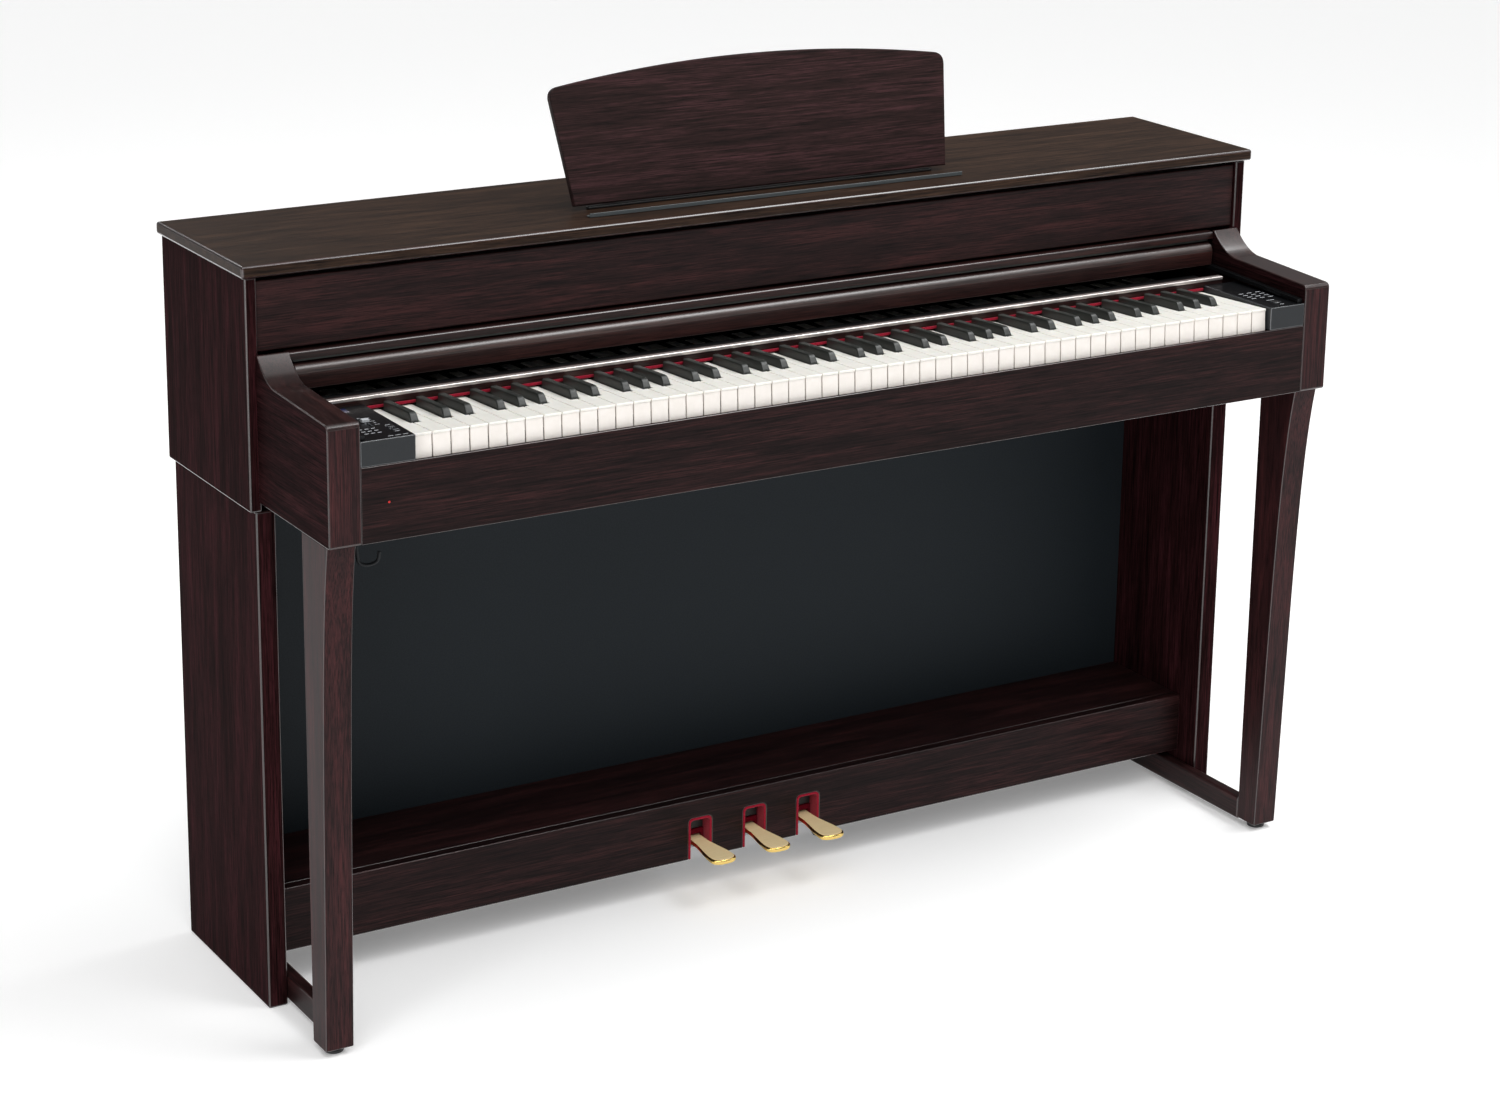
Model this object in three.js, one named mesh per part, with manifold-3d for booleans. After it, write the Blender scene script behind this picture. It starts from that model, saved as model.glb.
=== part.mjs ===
// Digital piano in a furniture cabinet, on its own stand.
// Millimetres. +X to the player's right, +Y away from the player, +Z up.
// Origin: on the floor, at the middle of the bounding box.

import * as THREE from 'three';
import { mergeVertices } from 'three/addons/utils/BufferGeometryUtils.js';
import Module from 'manifold-3d';

const wasm = await Module();
wasm.setup();

// ---------- Driving dimensions ----------
const GAP = 0.3; // between pieces that touch

// Overall
const WIDTH = 1461; // lid, end to end
const DEPTH = 459; // arm noses to the lid's back edge
const LID_TOP = 927;

// Upper case
const LID_DEPTH = 266.5;
const LID_THICK = 15;
const LID_OVERHANG_X = 5.5; // lid past the side panels
const LID_OVERHANG_FRONT = 7;
const LID_OVERHANG_BACK = 2;
const UPPER_SIDE_THICK = 15;
const SEAM_Z = 631; // where the case stands on the stand
const FRONT_PANEL_THICK = 12;
const FRONT_PANEL_SETBACK = 5; // behind the side panels' front edges
const FRONT_PANEL_GROOVE = 6; // dark groove under the lid
const UPPER_BACK_THICK = 6;
const UPPER_BACK_SETBACK = 2;

// Arms and key slip
const ARM_WIDTH = 40;
const ARM_INSET = 11; // from the side panel's outer face
const ARM_BASE_Z = 642;
const ARM_NOSE_Z = 786;
const ARM_NOSE_RADIUS = 8;
const ARM_FLAT_RISE = 5.5; // the arm's top rises this much to the foot of its curve
const ARM_CURVE_RUN = 50;
const ARM_BACK_Z = 820;
const KEYSLIP_HEIGHT = 90;
const KEYSLIP_THICK = 18;
const KEYSLIP_LIP_THICK = 6; // its thin top, in front of the keys
const KEYSLIP_LIP_HEIGHT = 20;
const KEYSLIP_SETBACK = 0.5;
const KEYBED_THICK = 18;
const KEYBED_BACK_GAP = 6;

// Keys
const WHITE_COUNT = 52;
const KEY_PITCH = 23.5;
const KEY_GAP = 1;
const KEYBOARD_SHIFT = 6; // keyboard's middle, right of the case's middle
const KEY_FRONT_SETBACK = 9.5; // keys' fronts behind the arm noses
const KEY_TOP_Z = 760; // top of a white key at its front
const KEY_TILT_DEG = 3; // the keys rise towards the player
const KEY_REACH = 233.5; // balance axis to the white keys' fronts
const KEY_TOP_RISE = 7.8; // white top over the balance axis
const KEY_THICK = 16;
const KEY_FRONT_HEIGHT = 30;
const KEY_LIP_THICK = 4;
const KEY_HEAD_LENGTH = 50;
const KEY_TAIL_DROP = 3.8;
const KEY_TAIL_FROM = -5;
const KEY_TAIL_TO = 30;
const BLACK_SLOT = 13.6;
const BLACK_WIDTH = 11.2;
const BLACK_TOP_WIDTH = 9.2;
const BLACK_LENGTH = 77;
const BLACK_RISE = 10.5; // over the white keys
const BLACK_FRONT_SLOPE = 7;
const BLACK_STICK_WIDTH = 9;
const COMB_RAIL_FROM = 18;
const COMB_RAIL_TO = 30;
const SINGLE_FIRST_WHITE = 23; // the middle C
const SINGLE_WHITES = 3; // C, D and E move by themselves

// Name board, felt, fascia
const NAME_BOARD_Y = 132.5; // behind the keys' fronts
const NAME_BOARD_THICK = 12;
const NAME_BOARD_TOP_Z = 771;
const NAME_BOARD_UNDER = 3; // clearance over the keys under it
const NAME_BOARD_INSET = 24; // short of the arms' inner faces
const NAME_BOARD_ROUND = 2.5;
const NAME_SHELF_THICK = 3; // black shelf behind it, over the keys' tails
const FELT_THICK = 2;
const FELT_HEIGHT = 3.5;
const FASCIA_HEIGHT = 9.5;
const FASCIA_TOP_Z = 818.5;
const FASCIA_DEPTH = 16;

// Key cover
const COVER_SLOPE_DEG = 2;
const COVER_FRONT_REACH = 10; // rail face in front of the side panels
const COVER_BOTTOM_Z = 774.5;
const COVER_RAIL_HEIGHT = 28.5;
const COVER_RAIL_THICK = 14;
const COVER_BOARD_THICK = 7;
const COVER_BOARD_DEPTH = 190;
const COVER_SIDE_GAP = 5.5;
const GUIDE_THICK = 8;
const GUIDE_STRIP_HEIGHT = 5;
const GUIDE_CLEARANCE = 0.5;

// Stand
const LOWER_SIDE_THICK = 25;
const LOWER_SIDE_INSET = 7.5;
const LOWER_SIDE_FRONT_SET = 2;
const LEG_WIDTH = 36;
const LEG_FOOT_DEPTH = 37;
const LEG_TOP_DEPTH = 71;
const LEG_BACK_Y = 82.5; // leg's back, behind the arm noses
const GLIDE_HEIGHT = 8;
const GLIDE_RADIUS = 12;
const FOOT_BAR_THICK = 16;
const FOOT_BAR_HEIGHT = 32;
const FOOT_BAR_Z = 6;
const FOOT_BAR_BACK_Y = 100;
const REAR_BOARD_THICK = 12;
const REAR_BOARD_Z = 60;
const PEDAL_BOX_TOP_Z = 133.7;
const PEDAL_BOX_BOTTOM_Z = 51;
const PEDAL_BOX_FRONT_Y = 11;
const PEDAL_BOX_DEPTH = 156.7;
const PEDAL_BOX_THICK = 15;

// Pedals
const PEDAL_PITCH = 82.5;
const PEDAL_MIDDLE_X = -11;
const PEDAL_REACH = 70; // tip in front of the pedal box
const PEDAL_TOP_Z = 75;
const PEDAL_THICK = 7;
const PEDAL_NECK = 18;
const PEDAL_TIP = 36;
const PEDAL_TAIL = 24;
const PEDAL_AXLE_Y = 100;
const PEDAL_AXLE_RADIUS = 4;
const PEDAL_AXLE_CLEARANCE = 0.09;
const PEDAL_BOSS_RADIUS = 8.5;
const NOTCH_WIDTH = 35;
const NOTCH_TOP_Z = 108;
const NOTCH_RADIUS = 7;
const BRACKET_THICK = 3;
const BRACKET_FRONT_Y = 44;
const BRACKET_BACK_Y = 140;
const EAR_GAP = 4; // between a pedal's boss and the ear beside it
const ADJUSTER_X = 122;
const ADJUSTER_Y = 58;
const ADJUSTER_RADIUS = 12;
const ADJUSTER_KNOB_Z = 22; // screwed up, clear of the floor
const ADJUSTER_KNOB_HEIGHT = 12;
const ADJUSTER_SCREW_RISE = 26; // screw's top over the bracket, so that it still holds when lowered
const ADJUSTER_SCREW_RADIUS = 4;
const ADJUSTER_CLEARANCE = 0.6;

// Music rest
const REST_MIDDLE_X = 12;
const REST_HALF_BOTTOM = 273;
const REST_HALF_TOP = 289;
const REST_CORNER_RADIUS = 14;
const REST_SHOULDER = 22; // the arch's rise over the corners
const REST_THICK = 9;
const REST_TILT_DEG = 15;
const REST_RISE = 169; // the raised rest's top, over the lid
const REST_Y = 88; // hinge, behind the lid's front edge
const REST_HINGE_RISE = 4.5; // hinge line over the lid
const STAY_X = 190;
const STAY_WIDTH = 16;
const STAY_THICK = 2.2;
const STAY_PIVOT_UP = 78; // up the rest from its hinge
const STAY_BACK_Y = 62; // stay's foot, behind the rest's hinge
const LEDGE_Y = 41;
const LEDGE_DEPTH = 9;
const LEDGE_HEIGHT = 5;
const LEDGE_THICK = 1.6;

// Controls
const CONTROL_RISE = 2; // blocks' tops over the white keys
const CONTROL_SETBACK = 1; // blocks' fronts behind the arm noses
const CONTROL_BACK_GAP = 0.6; // to the name board
const CONTROL_FOOT = 12; // depth of the foot on the keybed
const SLIDER_OUT = 31; // slider's slot, out from the keyboard's end
const SLIDER_SETBACK = 71;
const SLOT_LENGTH = 36;
const SLOT_WIDTH = 3.4;
const STEM_WIDTH = 2.4;
const STEM_LENGTH = 4;
const STEM_DEPTH = 3.5;
const BUTTON_OUT = 13;
const BUTTON_SETBACK = 30;
const BUTTON_PROUD = 1.2;
const POWER_SETBACK = 24;
const POWER_PROUD = 1;
const SLIDER_WIDTH = 9;
const SLIDER_LENGTH = 6;
const SLIDER_HEIGHT = 4;
const SLIDER_CLEARANCE = 0.5; // under the slider's cap
const BUTTON_SIZE = 7;
const BUTTON_HEIGHT = 2.2;
const BUTTON_SPACING = 12;
const POWER_BUTTON_RADIUS = 6;
const CONTROL_CLEARANCE = 0.4;
const CONTROL_POCKET = 5;

// Inside
const SPEAKER_X = 520;
const SPEAKER_Y = 125;
const SPEAKER_RADIUS = 75;
const SPEAKER_HOLE_RADIUS = 62;
const FRAME_PLATE_THICK = 2.5;
const BOARD_X = [-130, 130];
const BOARD_Y = [80, 190];
const BOARD_RISE = 7; // on its posts
const BOARD_THICK = 1.6;
const POST_INSET = 8;
const POST_RADIUS = 3;
const CHIPS = [
  { x: [-40, -5], y: [110, 145], height: 3 },
  { x: [30, 60], y: [100, 120], height: 5 },
  { x: [-110, -60], y: [165, 185], height: 9 },
];
const POWER_UNIT_X = [200, 360];
const POWER_UNIT_HEIGHT = 38;
const FIN_COUNT = 7;
const FIN_THICK = 4;
const FIN_SPACING = 20;
const FIN_RISE = 12;

// Under the keybed
const JACK_PANEL_X = [-600, -430];
const JACK_PANEL_DEPTH = 28;
const JACK_PANEL_HEIGHT = 43;
const JACK_PANEL_INSET = 15; // from the case's back
const INLET_X = [-588, -562];
const INLET_DEPTH = 15;
const INLET_Z = [-31, -12]; // down from the keybed
const HEADPHONE_BOX_X = [-668, -598];
const HEADPHONE_BOX_SETBACK = 74; // behind the key slip
const HEADPHONE_BOX_DEPTH = 56;
const HEADPHONE_BOX_HEIGHT = 30;
const SOCKET_X = [-650, -620];
const SOCKET_RADIUS = 3.3;
const SOCKET_DEPTH = 23;
const SOCKET_DROP = 16;
const HOOK_X = -662;
const HOOK_SETBACK = 24;
const HOOK_WIRE_RADIUS = 2.2;
const HOOK_FOOT = 18;
const HOOK_FOOT_THICK = 4;

const materials = makeMaterials();

// ---------- Derived places ----------
const yFront = -DEPTH / 2;
const yBack = DEPTH / 2;
const lidFront = yBack - LID_DEPTH;
const lidUnder = LID_TOP - LID_THICK;
const upperOuter = WIDTH / 2 - LID_OVERHANG_X;
const upperInner = upperOuter - UPPER_SIDE_THICK;
const upperFront = lidFront + LID_OVERHANG_FRONT;
const upperBack = yBack - LID_OVERHANG_BACK;
const armOuter = upperOuter - ARM_INSET;
const armInner = armOuter - ARM_WIDTH;
const keyslipTop = ARM_BASE_Z + KEYSLIP_HEIGHT;
const keyslipBack = yFront + KEYSLIP_SETBACK + KEYSLIP_THICK;
const keybedTop = ARM_BASE_Z + KEYBED_THICK;
const backBoardFront = upperBack - UPPER_BACK_SETBACK - UPPER_BACK_THICK;
const keyTilt = THREE.MathUtils.degToRad(KEY_TILT_DEG);
const keyFront = yFront + KEY_FRONT_SETBACK;
const balanceY = keyFront + KEY_REACH * Math.cos(keyTilt) - KEY_TOP_RISE * Math.sin(keyTilt);
const balanceZ = KEY_TOP_Z - KEY_REACH * Math.sin(keyTilt) - KEY_TOP_RISE * Math.cos(keyTilt);
const keyboardLeft = KEYBOARD_SHIFT - (WHITE_COUNT * KEY_PITCH) / 2;
const keyboardRight = KEYBOARD_SHIFT + (WHITE_COUNT * KEY_PITCH) / 2;
const nameBoardFront = keyFront + NAME_BOARD_Y;
const coverSlope = THREE.MathUtils.degToRad(COVER_SLOPE_DEG);
const coverFront = upperFront - COVER_FRONT_REACH;
const coverEnd = armInner - COVER_SIDE_GAP;
const lowerOuter = upperOuter - LOWER_SIDE_INSET;
const lowerInner = lowerOuter - LOWER_SIDE_THICK;
const lowerFront = upperFront + LOWER_SIDE_FRONT_SET;
const legBack = yFront + LEG_BACK_Y;
const pedalBoxBack = PEDAL_BOX_FRONT_Y + PEDAL_BOX_DEPTH;
const axleZ = PEDAL_TOP_Z - PEDAL_THICK / 2;
const restHingeY = lidFront + REST_Y;
const restHingeZ = LID_TOP + REST_HINGE_RISE;
const restTilt = THREE.MathUtils.degToRad(REST_TILT_DEG);

// ---------- The model ----------
const model = new THREE.Group();
addUpperCase(model);
addArmsAndKeyslip(model);
addControls(model);
addKeyboard(model);
addKeyCover(model);
addStand(model);
addPedals(model);
addMusicRest(model);
addInside(model);
addUnderKeybed(model);
model.updateMatrixWorld(true);

// ---------- Upper case ----------
function addUpperCase(parent) {
  const lid = box([-WIDTH / 2, WIDTH / 2], [lidFront, yBack], [lidUnder, LID_TOP]);
  add(parent, 'lid', lid, 'wood');
  for (const [side, sign] of sides()) {
    const x = mirrored(upperInner, upperOuter, sign);
    const panel = box(x, [upperFront, upperBack], [SEAM_Z, lidUnder - GAP]);
    add(parent, `upper_side_${side}`, panel, 'wood');
  }
  const inner = upperInner - GAP;
  const panelFront = upperFront + FRONT_PANEL_SETBACK;
  const frontPanel = box(
    [-inner, inner],
    [panelFront, panelFront + FRONT_PANEL_THICK],
    [FASCIA_TOP_Z + FRONT_PANEL_SETBACK - 1.5, lidUnder - FRONT_PANEL_GROOVE],
  );
  add(parent, 'front_panel', frontPanel, 'wood');
  const back = [backBoardFront, backBoardFront + UPPER_BACK_THICK];
  add(parent, 'upper_back_board', box([-inner, inner], back, [SEAM_Z, lidUnder - GAP]), 'board');
}

// ---------- Arms, key slip, keybed, name board, fascia ----------
function addArmsAndKeyslip(parent) {
  const armBack = upperFront - GAP;
  const curveFoot = armBack - ARM_CURVE_RUN;
  const profile = new THREE.Shape();
  profile.moveTo(armBack, ARM_BASE_Z);
  profile.lineTo(yFront, ARM_BASE_Z);
  profile.lineTo(yFront, ARM_NOSE_Z - ARM_NOSE_RADIUS);
  profile.quadraticCurveTo(yFront, ARM_NOSE_Z, yFront + ARM_NOSE_RADIUS, ARM_NOSE_Z);
  profile.lineTo(curveFoot, ARM_NOSE_Z + ARM_FLAT_RISE);
  const bendZ = ARM_NOSE_Z + ARM_FLAT_RISE + 4;
  profile.quadraticCurveTo(armBack - ARM_CURVE_RUN / 2, bendZ, armBack - 4, ARM_BACK_Z);
  profile.lineTo(armBack, ARM_BACK_Z);
  for (const [side, sign] of sides()) {
    add(parent, `arm_${side}`, alongX(profile, mirrored(armInner, armOuter, sign)), 'wood');
  }

  const slipFront = yFront + KEYSLIP_SETBACK;
  const slip = polygon([
    [slipFront, ARM_BASE_Z],
    [slipFront, keyslipTop],
    [slipFront + KEYSLIP_LIP_THICK, keyslipTop],
    [slipFront + KEYSLIP_LIP_THICK, keyslipTop - KEYSLIP_LIP_HEIGHT],
    [keyslipBack, keyslipTop - KEYSLIP_LIP_HEIGHT],
    [keyslipBack, ARM_BASE_Z],
  ]);
  const between = [-(armInner - GAP), armInner - GAP];
  add(parent, 'keyslip', alongX(slip, between), 'wood');
  add(parent, 'keybed', keybed(), 'board');

  const boardBottom = keyTopAt(nameBoardFront) + NAME_BOARD_UNDER;
  const half = armInner - NAME_BOARD_INSET;
  const nameBoardBack = nameBoardFront + NAME_BOARD_THICK;
  const shelfTop = boardBottom + NAME_SHELF_THICK;
  const shelfBack = upperFront + FRONT_PANEL_SETBACK;
  const nameBoard = polygon([
    [nameBoardFront, boardBottom],
    [nameBoardFront, NAME_BOARD_TOP_Z - NAME_BOARD_ROUND],
    [nameBoardFront + NAME_BOARD_ROUND, NAME_BOARD_TOP_Z],
    [nameBoardBack, NAME_BOARD_TOP_Z],
    [nameBoardBack, shelfTop],
    [shelfBack, shelfTop],
    [shelfBack, boardBottom],
  ]);
  add(parent, 'name_board', alongX(nameBoard, [-half, half]), 'wood');
  const feltFront = nameBoardFront - GAP - FELT_THICK;
  const felt = box(
    [keyboardLeft + 1, keyboardRight - 1],
    [feltFront, feltFront + FELT_THICK],
    [boardBottom - 0.5, boardBottom - 0.5 + FELT_HEIGHT],
  );
  add(parent, 'key_felt', felt, 'felt');

  const fasciaFront = upperFront - 3;
  const round = 3;
  const fascia = polygon([
    [fasciaFront, FASCIA_TOP_Z - FASCIA_HEIGHT],
    [fasciaFront, FASCIA_TOP_Z - round],
    [fasciaFront + round, FASCIA_TOP_Z],
    [fasciaFront + FASCIA_DEPTH, FASCIA_TOP_Z],
    [fasciaFront + FASCIA_DEPTH, FASCIA_TOP_Z - FASCIA_HEIGHT],
  ]);
  add(parent, 'cover_fascia', alongX(fascia, between), 'wood');
}

// The keybed is narrow between the arms and wide between the side panels.
function keybed() {
  const narrow = armInner - GAP;
  const wide = upperInner - GAP;
  const front = keyslipBack + GAP;
  const step = upperFront + GAP;
  const back = backBoardFront - KEYBED_BACK_GAP;
  const plan = polygon([
    [-narrow, front],
    [narrow, front],
    [narrow, step],
    [wide, step],
    [wide, back],
    [-wide, back],
    [-wide, step],
    [-narrow, step],
  ]);
  for (const sign of [-1, 1]) {
    const hole = new THREE.Path();
    hole.absarc(sign * SPEAKER_X, SPEAKER_Y, SPEAKER_HOLE_RADIUS, 0, Math.PI * 2);
    plan.holes.push(hole);
  }
  return alongZ(plan, [ARM_BASE_Z, keybedTop]);
}

// ---------- Control blocks beside the keys ----------
function addControls(parent) {
  const top = KEY_TOP_Z + CONTROL_RISE;
  const front = yFront + CONTROL_SETBACK;
  const back = nameBoardFront - CONTROL_BACK_GAP;
  const profile = polygon([
    [front, keyslipTop + GAP],
    [front, top],
    [back, top],
    [back, keybedTop + GAP],
    [back - CONTROL_FOOT, keybedTop + GAP],
    [back - CONTROL_FOOT, keyslipTop + GAP],
  ]);
  const outer = armInner - GAP;
  const pocket = [top - CONTROL_POCKET, top + 1];
  addLeftControls(parent, alongX(profile, [-outer, keyboardLeft - KEY_GAP]), front, top, pocket);
  addRightControls(parent, alongX(profile, [keyboardRight + KEY_GAP, outer]), front, top, pocket);
}

// The left block: a volume slider and two push buttons, each in its own pocket.
function addLeftControls(parent, block, front, top, pocket) {
  const sliderX = keyboardLeft - SLIDER_OUT;
  const sliderY = front + SLIDER_SETBACK;
  const around = (middle, size) => [middle - size / 2, middle + size / 2];
  let left = solid(block);
  left = left.subtract(solid(box(around(sliderX, SLOT_WIDTH), around(sliderY, SLOT_LENGTH), pocket)));
  const buttonX = keyboardLeft - BUTTON_OUT;
  const holeSize = BUTTON_SIZE + 2 * CONTROL_CLEARANCE;
  for (let i = 0; i < 2; i++) {
    const y = front + BUTTON_SETBACK + i * BUTTON_SPACING;
    left = left.subtract(solid(box(around(buttonX, holeSize), around(y, holeSize), pocket)));
    const height = [top - BUTTON_HEIGHT, top + BUTTON_PROUD];
    const button = box(around(buttonX, BUTTON_SIZE), around(y, BUTTON_SIZE), height);
    add(parent, `panel_button_${i + 1}`, button, 'plastic');
  }
  add(parent, 'control_block_left', geometry(left), 'plastic');
  const capHeight = [top + SLIDER_CLEARANCE, top + SLIDER_HEIGHT];
  const cap = box(around(sliderX, SLIDER_WIDTH), around(sliderY, SLIDER_LENGTH), capHeight);
  const stemHeight = [top - STEM_DEPTH, top + 2 * SLIDER_CLEARANCE];
  const stem = box(around(sliderX, STEM_WIDTH), around(sliderY, STEM_LENGTH), stemHeight);
  add(parent, 'volume_slider', join([cap, stem]), 'plastic');
}

// The right block: the round power button in its pocket.
function addRightControls(parent, block, front, top, pocket) {
  const x = (keyboardRight + armInner - GAP) / 2;
  const y = front + POWER_SETBACK;
  const well = upright(x, y, POWER_BUTTON_RADIUS + CONTROL_CLEARANCE, pocket, 20);
  add(parent, 'control_block_right', geometry(solid(block).subtract(solid(well))), 'plastic');
  const height = [top - BUTTON_HEIGHT, top + POWER_PROUD];
  add(parent, 'power_button', upright(x, y, POWER_BUTTON_RADIUS, height, 20), 'plastic');
}

// ---------- Keyboard ----------
// Keys are drawn level in a group whose X axis is the balance axis, and the group is tilted.
function addKeyboard(parent) {
  const tilted = new THREE.Group();
  tilted.position.set(0, balanceY, balanceZ);
  tilted.rotation.x = -keyTilt;
  parent.add(tilted);

  const singleLast = SINGLE_FIRST_WHITE + SINGLE_WHITES;
  const whites = Array.from({ length: WHITE_COUNT }, (_, i) => i);
  const isBass = (i) => i < SINGLE_FIRST_WHITE;
  const isTreble = (i) => i >= singleLast;
  const comb = (list, part, rail) => join([...list.map(part), rail(list)]);
  add(tilted, 'white_keys_bass', comb(whites.filter(isBass), whiteKey, whiteRail), 'ivory');
  add(tilted, 'white_keys_treble', comb(whites.filter(isTreble), whiteKey, whiteRail), 'ivory');
  const names = ['c', 'd', 'e'];
  for (let i = 0; i < SINGLE_WHITES; i++) {
    add(tilted, `key_${names[i]}`, whiteKey(SINGLE_FIRST_WHITE + i), 'ivory');
  }
  const blacks = whites.filter(hasBlackAfter);
  const isSingle = (i) => i >= SINGLE_FIRST_WHITE && i < singleLast;
  add(tilted, 'black_keys_bass', comb(blacks.filter(isBass), blackKey, blackRail), 'ebony');
  add(tilted, 'black_keys_treble', comb(blacks.filter(isTreble), blackKey, blackRail), 'ebony');
  for (const i of blacks.filter(isSingle)) {
    add(tilted, `key_${names[i - SINGLE_FIRST_WHITE]}_sharp`, blackKey(i), 'ebony');
  }
  add(parent, 'key_frame', keyFrame(), 'steel');
}

// The white keys run A, B, C, D, E, F, G; step 0 is C.
function stepOf(i) {
  return (i + 5) % 7;
}

// A black key follows every white key but E and B, and the last one.
function hasBlackAfter(i) {
  return ![2, 6].includes(stepOf(i)) && i < WHITE_COUNT - 1;
}

// Within C to E and within F to B the tails of all the keys are equally wide.
function blackCentre(i) {
  const step = stepOf(i);
  const inLowGroup = step < 3;
  const groupStart = inLowGroup ? 0 : 3;
  const groupWhites = inLowGroup ? 3 : 4;
  const tail = (groupWhites * KEY_PITCH) / (2 * groupWhites - 1);
  const octaveX = keyboardLeft + (i - step) * KEY_PITCH;
  return octaveX + groupStart * KEY_PITCH + (2 * (step - groupStart) + 1.5) * tail;
}

function whiteKey(i) {
  const left = keyboardLeft + i * KEY_PITCH + KEY_GAP / 2;
  const right = left + KEY_PITCH - KEY_GAP;
  const tailLeft = i > 0 && hasBlackAfter(i - 1) ? blackCentre(i - 1) + BLACK_SLOT / 2 : left;
  const tailRight = hasBlackAfter(i) ? blackCentre(i) - BLACK_SLOT / 2 : right;
  const front = -KEY_REACH;
  const head = front + KEY_HEAD_LENGTH;
  const outline = [
    [left, front],
    [right, front],
    [right, head],
    [tailRight, head],
    [tailRight, KEY_TAIL_FROM],
    [tailLeft, KEY_TAIL_FROM],
    [tailLeft, head],
    [left, head],
  ];
  const under = KEY_TOP_RISE - KEY_THICK;
  const top = alongZ(polygon(withoutRepeats(outline)), [under, KEY_TOP_RISE]);
  const lip = box(
    [left, right],
    [front, front + KEY_LIP_THICK],
    [KEY_TOP_RISE - KEY_FRONT_HEIGHT, under],
  );
  const tail = box(
    [tailLeft, tailRight],
    [KEY_TAIL_FROM, KEY_TAIL_TO],
    [under, KEY_TOP_RISE - KEY_TAIL_DROP],
  );
  return join([top, lip, tail]);
}

function whiteRail(list) {
  const first = keyboardLeft + list[0] * KEY_PITCH + KEY_GAP / 2;
  const last = keyboardLeft + (list.at(-1) + 1) * KEY_PITCH - KEY_GAP / 2;
  const top = KEY_TOP_RISE - KEY_THICK + 1;
  return box([first, last], [COMB_RAIL_FROM, COMB_RAIL_TO], [top - 8, top]);
}

function blackKey(i) {
  const x = blackCentre(i);
  const front = -KEY_REACH + KEY_HEAD_LENGTH + 1.5;
  const back = front + BLACK_LENGTH;
  const low = KEY_TOP_RISE - 6;
  const high = KEY_TOP_RISE + BLACK_RISE;
  const cap = new THREE.BoxGeometry(BLACK_WIDTH, BLACK_LENGTH, high - low);
  cap.translate(x, (front + back) / 2, (low + high) / 2);
  const p = cap.attributes.position;
  for (let v = 0; v < p.count; v++) {
    if (p.getZ(v) < high - 1) continue;
    p.setX(v, x + ((p.getX(v) - x) * BLACK_TOP_WIDTH) / BLACK_WIDTH);
    if (p.getY(v) < front + 1) p.setY(v, front + BLACK_FRONT_SLOPE);
  }
  const half = BLACK_STICK_WIDTH / 2;
  const stick = box([x - half, x + half], [front + 25, KEY_TAIL_TO], [-4.5, KEY_TOP_RISE]);
  return join([cap, stick]);
}

function blackRail(list) {
  const half = BLACK_STICK_WIDTH / 2;
  const low = KEY_TOP_RISE - KEY_TAIL_DROP + 1.5;
  const ends = [blackCentre(list[0]) - half, blackCentre(list.at(-1)) + half];
  return box(ends, [COMB_RAIL_FROM, COMB_RAIL_TO], [low, low + 7]);
}

// Steel frame: base plate, front guide rail and the balance beam under the keys.
function keyFrame() {
  const x = [keyboardLeft, keyboardRight];
  const low = keybedTop + GAP;
  const plate = box(x, [keyslipBack + 8, balanceY + 30], [low, low + FRAME_PLATE_THICK]);
  const guide = box(x, [keyslipBack + 20, keyslipBack + 32], [low, balanceZ - 25]);
  const beam = box(x, [balanceY - 6, balanceY + 22], [low, balanceZ - 20]);
  return join([plate, guide, beam]);
}

// Height of the white keys' tops at a place y, in the case's frame.
function keyTopAt(y) {
  return balanceZ + (balanceY - y) * Math.tan(keyTilt) + KEY_TOP_RISE / Math.cos(keyTilt);
}

// ---------- Sliding key cover ----------
// Drawn level in a group whose Y axis is the line it slides along.
function addKeyCover(parent) {
  const sloped = new THREE.Group();
  sloped.position.set(0, coverFront, COVER_BOTTOM_Z);
  sloped.rotation.x = coverSlope;
  parent.add(sloped);

  const round = 9;
  const high = COVER_RAIL_HEIGHT;
  const rail = new THREE.Shape();
  rail.moveTo(1, 0);
  rail.lineTo(COVER_RAIL_THICK, 0);
  rail.lineTo(COVER_RAIL_THICK, high);
  rail.lineTo(round, high);
  rail.quadraticCurveTo(0, high, 0, high - round);
  rail.lineTo(0, 1);
  add(sloped, 'cover_rail', alongX(rail, [-coverEnd, coverEnd]), 'wood');

  const boardEnd = armInner - 1.5;
  const boardFront = COVER_RAIL_THICK + GAP;
  const board = box(
    [-boardEnd, boardEnd],
    [boardFront, COVER_BOARD_DEPTH],
    [high - COVER_BOARD_THICK, high],
  );
  add(sloped, 'cover_board', board, 'wood');

  // A guide is a low strip along the arm and a taller plate behind the rail.
  const stripFront = yFront + 6 - coverFront;
  const stripTop = -GUIDE_CLEARANCE;
  const plateTop = high - COVER_BOARD_THICK - GUIDE_CLEARANCE;
  const guide = polygon([
    [stripFront, stripTop - GUIDE_STRIP_HEIGHT],
    [COVER_BOARD_DEPTH, stripTop - GUIDE_STRIP_HEIGHT],
    [COVER_BOARD_DEPTH, plateTop],
    [boardFront + 2, plateTop],
    [boardFront + 2, stripTop],
    [stripFront, stripTop],
  ]);
  for (const [side, sign] of sides()) {
    const x = mirrored(armInner - GAP - GUIDE_THICK, armInner - GAP, sign);
    add(sloped, `cover_guide_${side}`, alongX(guide, x), 'steel');
  }
}

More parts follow.
